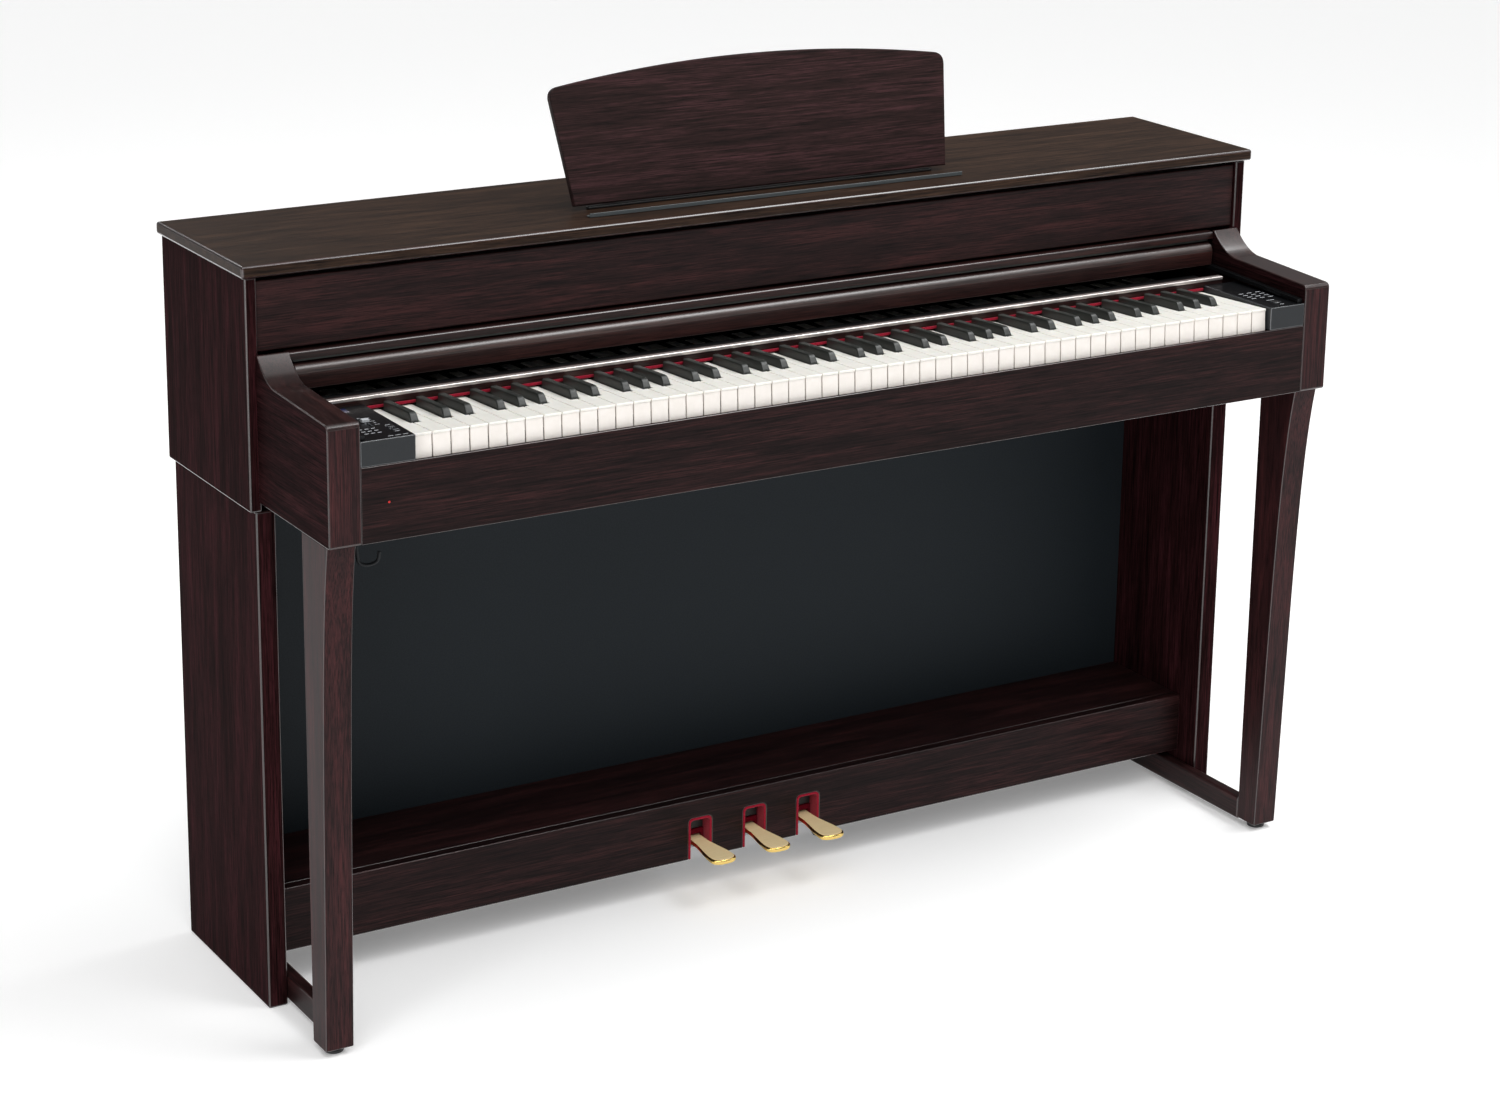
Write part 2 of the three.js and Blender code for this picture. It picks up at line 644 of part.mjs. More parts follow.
// ---------- Stand ----------
function addStand(parent) {
  const legMiddle = (armInner + armOuter) / 2;
  const legTop = ARM_BASE_Z - GAP;
  const straightZ = GLIDE_HEIGHT + (legTop - GLIDE_HEIGHT) / 3;
  const leg = new THREE.Shape();
  leg.moveTo(legBack, GLIDE_HEIGHT + GAP);
  leg.lineTo(legBack - LEG_FOOT_DEPTH, GLIDE_HEIGHT + GAP);
  leg.lineTo(legBack - LEG_FOOT_DEPTH - 6, straightZ);
  leg.bezierCurveTo(
    legBack - LEG_FOOT_DEPTH - 11,
    straightZ + (legTop - straightZ) * 0.45,
    legBack - LEG_FOOT_DEPTH - 16,
    straightZ + (legTop - straightZ) * 0.8,
    legBack - LEG_TOP_DEPTH,
    legTop,
  );
  leg.lineTo(legBack, legTop);
  for (const [side, sign] of sides()) {
    const panelX = mirrored(lowerInner, lowerOuter, sign);
    const panel = box(panelX, [lowerFront, upperBack], [0, SEAM_Z - GAP]);
    add(parent, `lower_side_${side}`, panel, 'wood');
    const legX = mirrored(legMiddle - LEG_WIDTH / 2, legMiddle + LEG_WIDTH / 2, sign);
    add(parent, `leg_${side}`, alongX(leg, legX), 'wood');
    const glideY = legBack - LEG_FOOT_DEPTH / 2;
    const glide = upright(sign * legMiddle, glideY, GLIDE_RADIUS, [0, GLIDE_HEIGHT], 20);
    add(parent, `leg_glide_${side}`, glide, 'plastic');
    const barX = mirrored(lowerInner - GAP - FOOT_BAR_THICK, lowerInner - GAP, sign);
    const bar = box(barX, [legBack + GAP, FOOT_BAR_BACK_Y], [FOOT_BAR_Z, FOOT_BAR_Z + FOOT_BAR_HEIGHT]);
    add(parent, `foot_bar_${side}`, bar, 'wood');
  }
  const inner = lowerInner - GAP;
  const rearY = pedalBoxBack + GAP;
  const rear = box([-inner, inner], [rearY, rearY + REAR_BOARD_THICK], [REAR_BOARD_Z, ARM_BASE_Z - GAP]);
  add(parent, 'lower_rear_board', rear, 'board');

  const frontBack = PEDAL_BOX_FRONT_Y + PEDAL_BOX_THICK;
  const frontBoard = alongY(pedalBoxOutline(inner), [PEDAL_BOX_FRONT_Y, frontBack]);
  add(parent, 'pedal_box_front', frontBoard, 'wood');
  const topBoard = box(
    [-inner, inner],
    [frontBack + GAP, pedalBoxBack],
    [PEDAL_BOX_TOP_Z - PEDAL_BOX_THICK, PEDAL_BOX_TOP_Z],
  );
  add(parent, 'pedal_box_top', topBoard, 'wood');
}

// Front board of the pedal box: three notches open at its lower edge.
function pedalBoxOutline(inner) {
  const outline = new THREE.Shape();
  outline.moveTo(-inner, PEDAL_BOX_BOTTOM_Z);
  for (const x of pedalPlaces()) {
    const left = x - NOTCH_WIDTH / 2;
    const right = x + NOTCH_WIDTH / 2;
    outline.lineTo(left, PEDAL_BOX_BOTTOM_Z);
    outline.lineTo(left, NOTCH_TOP_Z - NOTCH_RADIUS);
    outline.quadraticCurveTo(left, NOTCH_TOP_Z, left + NOTCH_RADIUS, NOTCH_TOP_Z);
    outline.lineTo(right - NOTCH_RADIUS, NOTCH_TOP_Z);
    outline.quadraticCurveTo(right, NOTCH_TOP_Z, right, NOTCH_TOP_Z - NOTCH_RADIUS);
    outline.lineTo(right, PEDAL_BOX_BOTTOM_Z);
  }
  outline.lineTo(inner, PEDAL_BOX_BOTTOM_Z);
  outline.lineTo(inner, PEDAL_BOX_TOP_Z);
  outline.lineTo(-inner, PEDAL_BOX_TOP_Z);
  return outline;
}

// ---------- Pedals ----------
function pedalPlaces() {
  return [-1, 0, 1].map((k) => PEDAL_MIDDLE_X + k * PEDAL_PITCH);
}

function addPedals(parent) {
  const names = ['left', 'middle', 'right'];
  pedalPlaces().forEach((x, k) => {
    add(parent, `pedal_${names[k]}`, pedal(x), 'brass');
  });
  add(parent, 'pedal_bracket', pedalBracket(), 'steel');

  const knobRange = [ADJUSTER_KNOB_Z, ADJUSTER_KNOB_Z + ADJUSTER_KNOB_HEIGHT];
  const knob = upright(ADJUSTER_X, ADJUSTER_Y, ADJUSTER_RADIUS, knobRange, 20);
  const screwTop = PEDAL_BOX_BOTTOM_Z + GAP + BRACKET_THICK + ADJUSTER_SCREW_RISE;
  const screwRange = [ADJUSTER_KNOB_Z + 1, screwTop];
  const screw = upright(ADJUSTER_X, ADJUSTER_Y, ADJUSTER_SCREW_RADIUS, screwRange, 16);
  add(parent, 'height_adjuster', join([knob, screw]), 'plastic');
}

// A pedal is a tongue that widens to a round tip, on a boss with a bore for the axle.
function pedal(x) {
  const tipY = PEDAL_BOX_FRONT_Y - PEDAL_REACH;
  const tipRadius = PEDAL_TIP / 2;
  const neck = PEDAL_NECK / 2;
  const neckY = PEDAL_BOX_FRONT_Y - 8;
  const outline = new THREE.Shape();
  outline.moveTo(x - neck, PEDAL_AXLE_Y + PEDAL_TAIL);
  outline.lineTo(x - neck, neckY);
  outline.bezierCurveTo(
    x - neck,
    neckY - 20,
    x - tipRadius,
    tipY + tipRadius + 20,
    x - tipRadius,
    tipY + tipRadius,
  );
  outline.absarc(x, tipY + tipRadius, tipRadius, Math.PI, 2 * Math.PI, false);
  outline.bezierCurveTo(
    x + tipRadius,
    tipY + tipRadius + 20,
    x + neck,
    neckY - 20,
    x + neck,
    neckY,
  );
  outline.lineTo(x + neck, PEDAL_AXLE_Y + PEDAL_TAIL);
  const tongue = alongZ(outline, [PEDAL_TOP_Z - PEDAL_THICK, PEDAL_TOP_Z]);
  const boss = acrossX([x - neck, x + neck], PEDAL_AXLE_Y, axleZ, PEDAL_BOSS_RADIUS, 24);
  const boreRadius = PEDAL_AXLE_RADIUS + PEDAL_AXLE_CLEARANCE;
  const bore = acrossX([x - neck - 1, x + neck + 1], PEDAL_AXLE_Y, axleZ, boreRadius, 24);
  return geometry(solid(tongue).add(solid(boss)).subtract(solid(bore)));
}

// Bracket: base plate, back wall, an ear on each side of each pedal, and the axle.
function pedalBracket() {
  const places = pedalPlaces();
  const low = PEDAL_BOX_BOTTOM_Z + GAP;
  const earOut = PEDAL_NECK / 2 + EAR_GAP;
  const x = [places[0] - earOut - 12, ADJUSTER_X + ADJUSTER_RADIUS + 4];
  const plate = box(x, [BRACKET_FRONT_Y, BRACKET_BACK_Y], [low, low + BRACKET_THICK]);
  const wallTop = PEDAL_BOX_TOP_Z - PEDAL_BOX_THICK - GAP;
  const wall = box(x, [BRACKET_BACK_Y - BRACKET_THICK, BRACKET_BACK_Y], [low, wallTop]);
  const pieces = [plate, wall];
  for (const place of places) {
    for (const sign of [-1, 1]) {
      const ear = mirrored(earOut, earOut + BRACKET_THICK, sign).map((v) => v + place);
      pieces.push(box(ear, [PEDAL_AXLE_Y - 9, PEDAL_AXLE_Y + 9], [low, axleZ + 8]));
    }
  }
  const rodEnds = [places[0] - earOut - BRACKET_THICK, places[2] + earOut + BRACKET_THICK];
  pieces.push(acrossX(rodEnds, PEDAL_AXLE_Y, axleZ, PEDAL_AXLE_RADIUS, 24));
  const holeRadius = ADJUSTER_SCREW_RADIUS + ADJUSTER_CLEARANCE;
  const hole = upright(ADJUSTER_X, ADJUSTER_Y, holeRadius, [low - 1, low + BRACKET_THICK + 1], 16);
  return geometry(solid(join(pieces)).subtract(solid(hole)));
}

// ---------- Music rest ----------
function addMusicRest(parent) {
  const frame = new THREE.Group();
  frame.position.set(REST_MIDDLE_X, restHingeY, restHingeZ);
  frame.rotation.x = -restTilt;
  parent.add(frame);

  const rise = REST_RISE - REST_HINGE_RISE - REST_THICK * Math.sin(restTilt);
  const height = rise / Math.cos(restTilt);
  const shoulder = height - REST_SHOULDER;
  const corner = REST_CORNER_RADIUS;
  const outline = new THREE.Shape();
  outline.moveTo(-REST_HALF_BOTTOM, 0);
  outline.lineTo(REST_HALF_BOTTOM, 0);
  outline.lineTo(REST_HALF_TOP, shoulder - corner);
  outline.quadraticCurveTo(REST_HALF_TOP + 1, shoulder, REST_HALF_TOP - corner, shoulder + 2);
  const archControl = 2 * height - shoulder - 2;
  outline.quadraticCurveTo(0, archControl, -REST_HALF_TOP + corner, shoulder + 2);
  outline.quadraticCurveTo(-REST_HALF_TOP - 1, shoulder, -REST_HALF_TOP, shoulder - corner);
  const board = alongY(outline, [-REST_THICK, 0], 16);
  const pieces = [board];
  for (const stay of [-STAY_X, STAY_X]) {
    for (const sign of [-1, 1]) {
      const lug = mirrored(STAY_WIDTH / 2 + 0.6, STAY_WIDTH / 2 + 3, sign).map((v) => v + stay);
      pieces.push(box(lug, [-1, 3.6], [STAY_PIVOT_UP - 4, STAY_PIVOT_UP + 4]));
    }
  }
  add(frame, 'music_rest', join(pieces), 'wood');

  const pivotBack = 1.7;
  const pivotY = STAY_PIVOT_UP * Math.sin(restTilt) + pivotBack * Math.cos(restTilt);
  const pivotZ = STAY_PIVOT_UP * Math.cos(restTilt) - pivotBack * Math.sin(restTilt);
  const drop = REST_HINGE_RISE + pivotZ - 0.8;
  const run = STAY_BACK_Y - pivotY;
  const length = Math.hypot(drop, run);
  for (const [side, sign] of sides()) {
    const stay = new THREE.Group();
    stay.position.set(REST_MIDDLE_X + sign * STAY_X, restHingeY + pivotY, restHingeZ + pivotZ);
    stay.rotation.x = Math.atan2(run, drop);
    parent.add(stay);
    const half = STAY_WIDTH / 2;
    const bar = box([-half, half], [-STAY_THICK / 2, STAY_THICK / 2], [-length, 0]);
    add(stay, `rest_stay_${side}`, bar, 'steel');
  }

  const hingeStrip = box(
    [REST_MIDDLE_X - REST_HALF_BOTTOM + 20, REST_MIDDLE_X + REST_HALF_BOTTOM - 20],
    [restHingeY - 6, restHingeY + 2],
    [LID_TOP + GAP, restHingeZ - 0.7],
  );
  add(parent, 'rest_hinge', hingeStrip, 'plastic');

  const ledgeFront = lidFront + LEDGE_Y;
  const low = LID_TOP + GAP;
  const ledge = polygon([
    [ledgeFront, low],
    [ledgeFront + LEDGE_DEPTH, low],
    [ledgeFront + LEDGE_DEPTH, low + LEDGE_THICK],
    [ledgeFront + LEDGE_THICK, low + LEDGE_THICK],
    [ledgeFront + LEDGE_THICK, low + LEDGE_HEIGHT],
    [ledgeFront, low + LEDGE_HEIGHT],
  ]);
  const ledgeX = [REST_MIDDLE_X - REST_HALF_BOTTOM, REST_MIDDLE_X + REST_HALF_BOTTOM];
  add(parent, 'music_ledge', alongX(ledge, ledgeX), 'plastic');
}

// ---------- Inside and underneath ----------
function addInside(parent) {
  const low = keybedTop + GAP;
  for (const [side, sign] of sides()) {
    add(parent, `speaker_${side}`, speaker(sign * SPEAKER_X, SPEAKER_Y, low), 'plastic');
  }
  add(parent, 'main_board', mainBoard(low), 'board');
  add(parent, 'power_unit', powerUnit(low), 'steel');
}

// The circuit board on four posts, with its three largest chips.
function mainBoard(low) {
  const top = low + BOARD_RISE + BOARD_THICK;
  const pieces = [box(BOARD_X, BOARD_Y, [low + BOARD_RISE, top])];
  for (const x of [BOARD_X[0] + POST_INSET, BOARD_X[1] - POST_INSET]) {
    for (const y of [BOARD_Y[0] + POST_INSET, BOARD_Y[1] - POST_INSET]) {
      pieces.push(upright(x, y, POST_RADIUS, [low, top], 8));
    }
  }
  for (const chip of CHIPS) {
    pieces.push(box(chip.x, chip.y, [top - BOARD_THICK, top + chip.height]));
  }
  return join(pieces);
}

// The power unit: a closed steel case with cooling fins on top.
function powerUnit(low) {
  const caseTop = low + POWER_UNIT_HEIGHT;
  const pieces = [box(POWER_UNIT_X, BOARD_Y, [low, caseTop])];
  const margin = (POWER_UNIT_X[1] - POWER_UNIT_X[0] - (FIN_COUNT - 1) * FIN_SPACING - FIN_THICK) / 2;
  for (let i = 0; i < FIN_COUNT; i++) {
    const x = POWER_UNIT_X[0] + margin + i * FIN_SPACING;
    pieces.push(box([x, x + FIN_THICK], [BOARD_Y[0] + 5, BOARD_Y[1] - 5], [caseTop - 1, caseTop + FIN_RISE]));
  }
  return join(pieces);
}

function addUnderKeybed(parent) {
  const under = ARM_BASE_Z - GAP;
  const panelBack = upperBack - JACK_PANEL_INSET;
  const panelY = [panelBack - JACK_PANEL_DEPTH, panelBack];
  const panel = box(JACK_PANEL_X, panelY, [under - JACK_PANEL_HEIGHT, under]);
  const inletZ = INLET_Z.map((drop) => under + drop);
  const inlet = box(INLET_X, [panelBack - INLET_DEPTH, panelBack + 1], inletZ);
  add(parent, 'rear_jack_panel', cut(panel, [inlet]), 'plastic');

  const front = keyslipBack + HEADPHONE_BOX_SETBACK;
  const boxY = [front, front + HEADPHONE_BOX_DEPTH];
  const jackBox = box(HEADPHONE_BOX_X, boxY, [under - HEADPHONE_BOX_HEIGHT, under]);
  const socket = new THREE.CylinderGeometry(SOCKET_RADIUS, SOCKET_RADIUS, SOCKET_DEPTH + 1, 16);
  const socketY = front - 1 + (SOCKET_DEPTH + 1) / 2;
  const sockets = SOCKET_X.map((x) => socket.clone().translate(x, socketY, under - SOCKET_DROP));
  add(parent, 'headphone_box', cut(jackBox, sockets), 'plastic');
  add(parent, 'headphone_hook', headphoneHook(under), 'steel');
}

// A wire from a foot under the keybed: down, across and up to its tip.
function headphoneHook(under) {
  const y = keyslipBack + HOOK_SETBACK;
  const route = [
    [0, -3],
    [0, -22],
    [3, -35],
    [14, -39],
    [25, -36],
    [28, -25],
  ];
  const path = new THREE.CatmullRomCurve3(
    route.map(([across, up]) => new THREE.Vector3(HOOK_X + across, y, under + up)),
  );
  const wire = new THREE.ExtrudeGeometry(disc(HOOK_WIRE_RADIUS, 8), { steps: 18, extrudePath: path });
  const half = HOOK_FOOT / 2;
  const foot = box([HOOK_X - half, HOOK_X + half], [y - half, y + half], [under - HOOK_FOOT_THICK, under]);
  return join([wire, foot]);
}

// A loudspeaker facing down: flange, cone, basket and magnet turned about its axis.
function speaker(x, y, z) {
  const profile = [
    [0, 12],
    [18, 9],
    [56, 1],
    [SPEAKER_HOLE_RADIUS, 0],
    [SPEAKER_RADIUS, 0],
    [SPEAKER_RADIUS, 4],
    [SPEAKER_RADIUS - 11, 5],
    [40, 38],
    [45, 42],
    [45, 64],
    [0, 64],
  ];
  const lathe = new THREE.LatheGeometry(profile.map(([r, h]) => new THREE.Vector2(r, h)), 24);
  lathe.rotateX(Math.PI / 2);
  lathe.translate(x, y, z);
  return lathe;
}

// ---------- Helpers ----------
function makeMaterials() {
  const make = (color, roughness, metalness) =>
    new THREE.MeshStandardMaterial({ color, roughness, metalness });
  return {
    wood: make(0x3a2526, 0.45, 0),
    board: make(0x20262b, 0.7, 0),
    plastic: make(0x2a2d30, 0.5, 0),
    ivory: make(0xf0eeea, 0.35, 0),
    ebony: make(0x2c302c, 0.6, 0),
    felt: make(0x9e1230, 0.95, 0),
    steel: make(0x53575c, 0.4, 0.8),
    brass: make(0xc8b48a, 0.3, 0.9),
  };
}

function add(parent, name, shape, material) {
  const mesh = new THREE.Mesh(shape, materials[material]);
  mesh.name = name;
  parent.add(mesh);
}

function sides() {
  return [
    ['left', -1],
    ['right', 1],
  ];
}

// The range from a to b on the right, or its mirror image on the left.
function mirrored(a, b, sign) {
  return sign > 0 ? [a, b] : [-b, -a];
}

function box([x0, x1], [y0, y1], [z0, z1]) {
  const shape = new THREE.BoxGeometry(x1 - x0, y1 - y0, z1 - z0);
  return shape.translate((x0 + x1) / 2, (y0 + y1) / 2, (z0 + z1) / 2);
}

function polygon(points) {
  return new THREE.Shape(points.map(([a, b]) => new THREE.Vector2(a, b)));
}

function withoutRepeats(points) {
  return points.filter(([a, b], i) => {
    const [c, d] = points.at(i - 1);
    return Math.hypot(a - c, b - d) > 1e-6;
  });
}

function disc(radius, sides) {
  const points = [];
  for (let i = 0; i < sides; i++) {
    const a = (i / sides) * Math.PI * 2;
    points.push([radius * Math.cos(a), radius * Math.sin(a)]);
  }
  return polygon(points);
}

// Outline in (y, z), extruded along X.
function alongX(shape, [x0, x1]) {
  const body = new THREE.ExtrudeGeometry(shape, { depth: x1 - x0, bevelEnabled: false, curveSegments: 8 });
  const axes = new THREE.Matrix4().makeBasis(
    new THREE.Vector3(0, 1, 0),
    new THREE.Vector3(0, 0, 1),
    new THREE.Vector3(1, 0, 0),
  );
  return body.applyMatrix4(axes).translate(x0, 0, 0);
}

// Outline in (x, z), extruded along Y.
function alongY(shape, [y0, y1], curveSegments = 8) {
  const body = new THREE.ExtrudeGeometry(shape, { depth: y1 - y0, bevelEnabled: false, curveSegments });
  return body.rotateX(Math.PI / 2).translate(0, y1, 0);
}

// Outline in (x, y), extruded along Z.
function alongZ(shape, [z0, z1]) {
  const body = new THREE.ExtrudeGeometry(shape, { depth: z1 - z0, bevelEnabled: false, curveSegments: 12 });
  return body.translate(0, 0, z0);
}

function upright(x, y, radius, [z0, z1], sides) {
  const body = new THREE.CylinderGeometry(radius, radius, z1 - z0, sides);
  return body.rotateX(Math.PI / 2).translate(x, y, (z0 + z1) / 2);
}

function acrossX([x0, x1], y, z, radius, sides) {
  const body = new THREE.CylinderGeometry(radius, radius, x1 - x0, sides);
  return body.rotateZ(Math.PI / 2).translate((x0 + x1) / 2, y, z);
}

function solid(shape) {
  const bare = shape.clone();
  bare.deleteAttribute('normal');
  bare.deleteAttribute('uv');
  const merged = mergeVertices(bare, 1e-4);
  return new wasm.Manifold(
    new wasm.Mesh({
      numProp: 3,
      vertProperties: new Float32Array(merged.attributes.position.array),
      triVerts: new Uint32Array(merged.index.array),
    }),
  );
}

function geometry(manifold) {
  const mesh = manifold.getMesh();
  const result = new THREE.BufferGeometry();
  result.setAttribute('position', new THREE.BufferAttribute(new Float32Array(mesh.vertProperties), 3));
  result.setIndex(new THREE.BufferAttribute(new Uint32Array(mesh.triVerts), 1));
  result.computeVertexNormals();
  return result;
}

function join(shapes) {
  return geometry(shapes.map(solid).reduce((a, b) => a.add(b)));
}

function cut(shape, tools) {
  return geometry(tools.reduce((a, tool) => a.subtract(solid(tool)), solid(shape)));
}

export default model;
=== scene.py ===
# %% [markdown]
# # A digital piano on its own stand
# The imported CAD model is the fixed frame: every board, key and pedal already has its place and size there.
# Here each one gets the rounded edges, fine parts and finish that the eye looks for on the real cabinet.

# %% The frame
import math

import bmesh
import bpy
import numpy as np
from mathutils import Matrix, Vector
from mathutils.geometry import tessellate_polygon


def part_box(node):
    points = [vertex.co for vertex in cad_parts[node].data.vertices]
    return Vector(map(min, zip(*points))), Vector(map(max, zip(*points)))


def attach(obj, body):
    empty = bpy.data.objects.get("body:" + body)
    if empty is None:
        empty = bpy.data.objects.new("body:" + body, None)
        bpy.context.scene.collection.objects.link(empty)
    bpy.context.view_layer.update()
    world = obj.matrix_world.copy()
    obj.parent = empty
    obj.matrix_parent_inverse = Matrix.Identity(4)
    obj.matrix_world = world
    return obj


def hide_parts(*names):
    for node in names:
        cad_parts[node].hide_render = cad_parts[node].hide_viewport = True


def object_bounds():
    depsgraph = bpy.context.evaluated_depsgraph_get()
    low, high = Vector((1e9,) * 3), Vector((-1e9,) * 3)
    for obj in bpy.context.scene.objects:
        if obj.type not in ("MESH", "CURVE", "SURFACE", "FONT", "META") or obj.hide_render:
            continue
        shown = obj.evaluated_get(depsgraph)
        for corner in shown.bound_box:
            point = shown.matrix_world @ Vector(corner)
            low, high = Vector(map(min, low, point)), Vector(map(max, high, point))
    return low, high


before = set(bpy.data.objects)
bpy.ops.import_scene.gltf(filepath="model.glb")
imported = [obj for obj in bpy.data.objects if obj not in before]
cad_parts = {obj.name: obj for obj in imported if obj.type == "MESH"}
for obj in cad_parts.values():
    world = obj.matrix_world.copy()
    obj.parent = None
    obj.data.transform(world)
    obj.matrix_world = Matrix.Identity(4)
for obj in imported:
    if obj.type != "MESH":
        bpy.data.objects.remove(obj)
cad_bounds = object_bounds()
MM = 0.001
scene = bpy.context.scene
print("CAD box in metres:", [[round(c, 3) for c in corner] for corner in cad_bounds])


def box_mm(node):
    """Lowest and highest corner of a CAD node in millimetres."""
    low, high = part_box(node)
    return np.array(low) / MM, np.array(high) / MM


# %% [markdown]
# ## One mesh tool: an outline carried along an axis
# Almost every piece of a cabinet is a board or a moulding: one outline, the same all along its length, with
# edges a machine has rounded. Modelling boxes and bevelling them by hand would also work, but a function
# that carries a closed outline along an axis, and draws it in a little at both ends, makes every one of them
# with true rounded edges, and the light catches those edges just as it does on the real boards.


# %% Outlines
def fillet(corners, radius, steps=4):
    """Rounds the corners of a closed outline. Each corner p becomes the curve
    (1-t)^2 a + 2t(1-t) p + t^2 b, where a and b lie one radius before and after it on its two sides."""
    p = np.asarray(corners, float)
    back = np.roll(p, 1, 0) - p
    ahead = np.roll(p, -1, 0) - p
    back_length = np.linalg.norm(back, axis=1)
    ahead_length = np.linalg.norm(ahead, axis=1)
    radius = np.minimum(np.broadcast_to(radius, len(p)), 0.45 * np.minimum(back_length, ahead_length))
    a = (p + back / back_length[:, None] * radius[:, None])[:, None]
    b = (p + ahead / ahead_length[:, None] * radius[:, None])[:, None]
    t = np.linspace(0, 1, steps + 1)[None, :, None]
    return ((1 - t) ** 2 * a + 2 * t * (1 - t) * p[:, None] + t**2 * b).reshape(-1, 2)


def bezier(points, steps=16):
    """The points of a Bezier curve with any number of control points, by De Casteljau's repeated mixing."""
    t = np.linspace(0, 1, steps + 1)[:, None]
    level = [np.broadcast_to(np.asarray(q, float), (steps + 1, 2)) for q in points]
    while len(level) > 1:
        level = [(1 - t) * a + t * b for a, b in zip(level, level[1:])]
    return level[0]


def rectangle(a0, a1, b0, b1):
    """The four corners of a rectangle, from its sides at a0, a1 and its sides at b0, b1."""
    return [(a0, b0), (a1, b0), (a1, b1), (a0, b1)]


print("a square with rounded corners has", len(fillet(rectangle(0, 10, 0, 10), 2)), "points")


# %% Filled ends
def filled(ring):
    """Triangles that fill a flat closed outline, its hollow corners too, all turned the same way."""
    triangles = np.array(tessellate_polygon([[Vector((a, b, 0)) for a, b in ring]]))
    a, b, c = (ring[triangles[:, k]] for k in range(3))
    area = (b[:, 0] - a[:, 0]) * (c[:, 1] - a[:, 1]) - (b[:, 1] - a[:, 1]) * (c[:, 0] - a[:, 0])
    triangles[area < 0] = triangles[area < 0][:, ::-1]
    return triangles


print("triangles over a square:", len(filled(np.array(rectangle(0.0, 1.0, 0.0, 1.0)))))


# %% Carried outlines
def carried(outline, axis, span, edge=1.0, steps=3):
    """A closed outline carried along an axis. At an angle g of each end's rounded edge the outline is drawn in
    by edge * (1 - sin g) along its own normals and stands edge * (1 - cos g) from the end."""
    outline = np.asarray(outline, float)
    x, y = outline.T
    if np.sum(x * np.roll(y, -1) - y * np.roll(x, -1)) < 0:
        outline = outline[::-1]
    tangent = np.roll(outline, -1, 0) - np.roll(outline, 1, 0)
    normal = np.stack([tangent[:, 1], -tangent[:, 0]], 1)
    normal /= np.maximum(np.linalg.norm(normal, axis=1, keepdims=True), 1e-9)
    angle = np.linspace(0, np.pi / 2, steps + 1)
    inset = edge * (1 - np.sin(angle))
    travel = edge * (1 - np.cos(angle))
    inset = np.concatenate([inset, inset[::-1]])
    along = np.concatenate([span[0] + travel, span[1] - travel[::-1]])
    flat = outline[None] - normal[None] * inset[:, None, None]
    along = np.broadcast_to(along[:, None], flat.shape[:2])
    first, second = flat[..., 0], flat[..., 1]
    columns = {"X": (along, first, second), "Y": (first, along, second), "Z": (first, second, along)}[axis]
    points = np.stack(columns, -1).reshape(-1, 3)
    levels, n = flat.shape[:2]
    i = np.arange(n)
    j = (i + 1) % n
    quads = (np.arange(levels - 1)[:, None, None] * n + np.stack([i, j, j + n, i + n], 1)[None]).reshape(-1, 4)
    faces = quads.tolist() + filled(flat[0])[:, ::-1].tolist() + (filled(flat[-1]) + (levels - 1) * n).tolist()
    if axis == "Y":
        faces = [f[::-1] for f in faces]
    return points, faces


print("faces of a plain batten:", len(carried(fillet(rectangle(0, 20, 0, 10), 2), "X", (0, 500))[1]))

# %% [markdown]
# Knobs, glides, screws and sockets are round, so they come from a lathe instead: half of the cross-section is
# drawn and turned about an axis. Parts that lean, such as keys and the music rest, are drawn upright, where
# their sizes are easy to read, and tilted last.


# %% Turned profiles
def turned(profile, centre, axis="Z", sides=32):
    """A profile of (radius, height) turned about an axis: x = r cos a, y = r sin a, z = height.
    The profile starts and ends on the axis, so the surface is closed."""
    profile = np.asarray(profile, float)
    a = np.arange(sides) / sides * 2 * np.pi
    r, h = profile[1:-1, :1], profile[1:-1, 1:]
    ring = np.stack([r * np.cos(a), r * np.sin(a), h + 0 * a], -1).reshape(-1, 3)
    points = np.concatenate([[[0, 0, profile[0, 1]]], ring, [[0, 0, profile[-1, 1]]]])
    rows = len(profile) - 2
    i = np.arange(sides)
    j = (i + 1) % sides
    quads = (1 + np.arange(rows - 1)[:, None, None] * sides + np.stack([i, j, j + sides, i + sides], 1)[None])
    last = len(points) - 1
    faces = quads.reshape(-1, 4).tolist()
    faces += np.stack([0 * i, 1 + j, 1 + i], 1).tolist()
    faces += np.stack([last + 0 * i, last - sides + i, last - sides + j], 1).tolist()
    if profile[-1, 1] < profile[0, 1]:
        faces = [f[::-1] for f in faces]
    order = {"X": [2, 0, 1], "Y": [1, 2, 0], "Z": [0, 1, 2]}[axis]
    return points[:, order] + np.asarray(centre, float), faces


print("faces of a turned rod:", len(turned([(0, 0), (5, 0), (5, 20), (0, 20)], (0, 0, 0))[1]))


# %% Tilted parts
def tilted(part, pivot, degrees):
    """Turns a part about an axis along X through pivot (y, z), by the right-hand rule."""
    points, faces = part
    c, s = math.cos(math.radians(degrees)), math.sin(math.radians(degrees))
    y, z = points[:, 1], points[:, 2]
    leaning = np.stack([points[:, 0], pivot[0] + c * y - s * z, pivot[1] + s * y + c * z], 1)
    return leaning, faces


print("10 mm up, tilted by 90 degrees:", np.round(tilted((np.array([[0, 0, 10.0]]), []), (0, 0), 90)[0], 3))
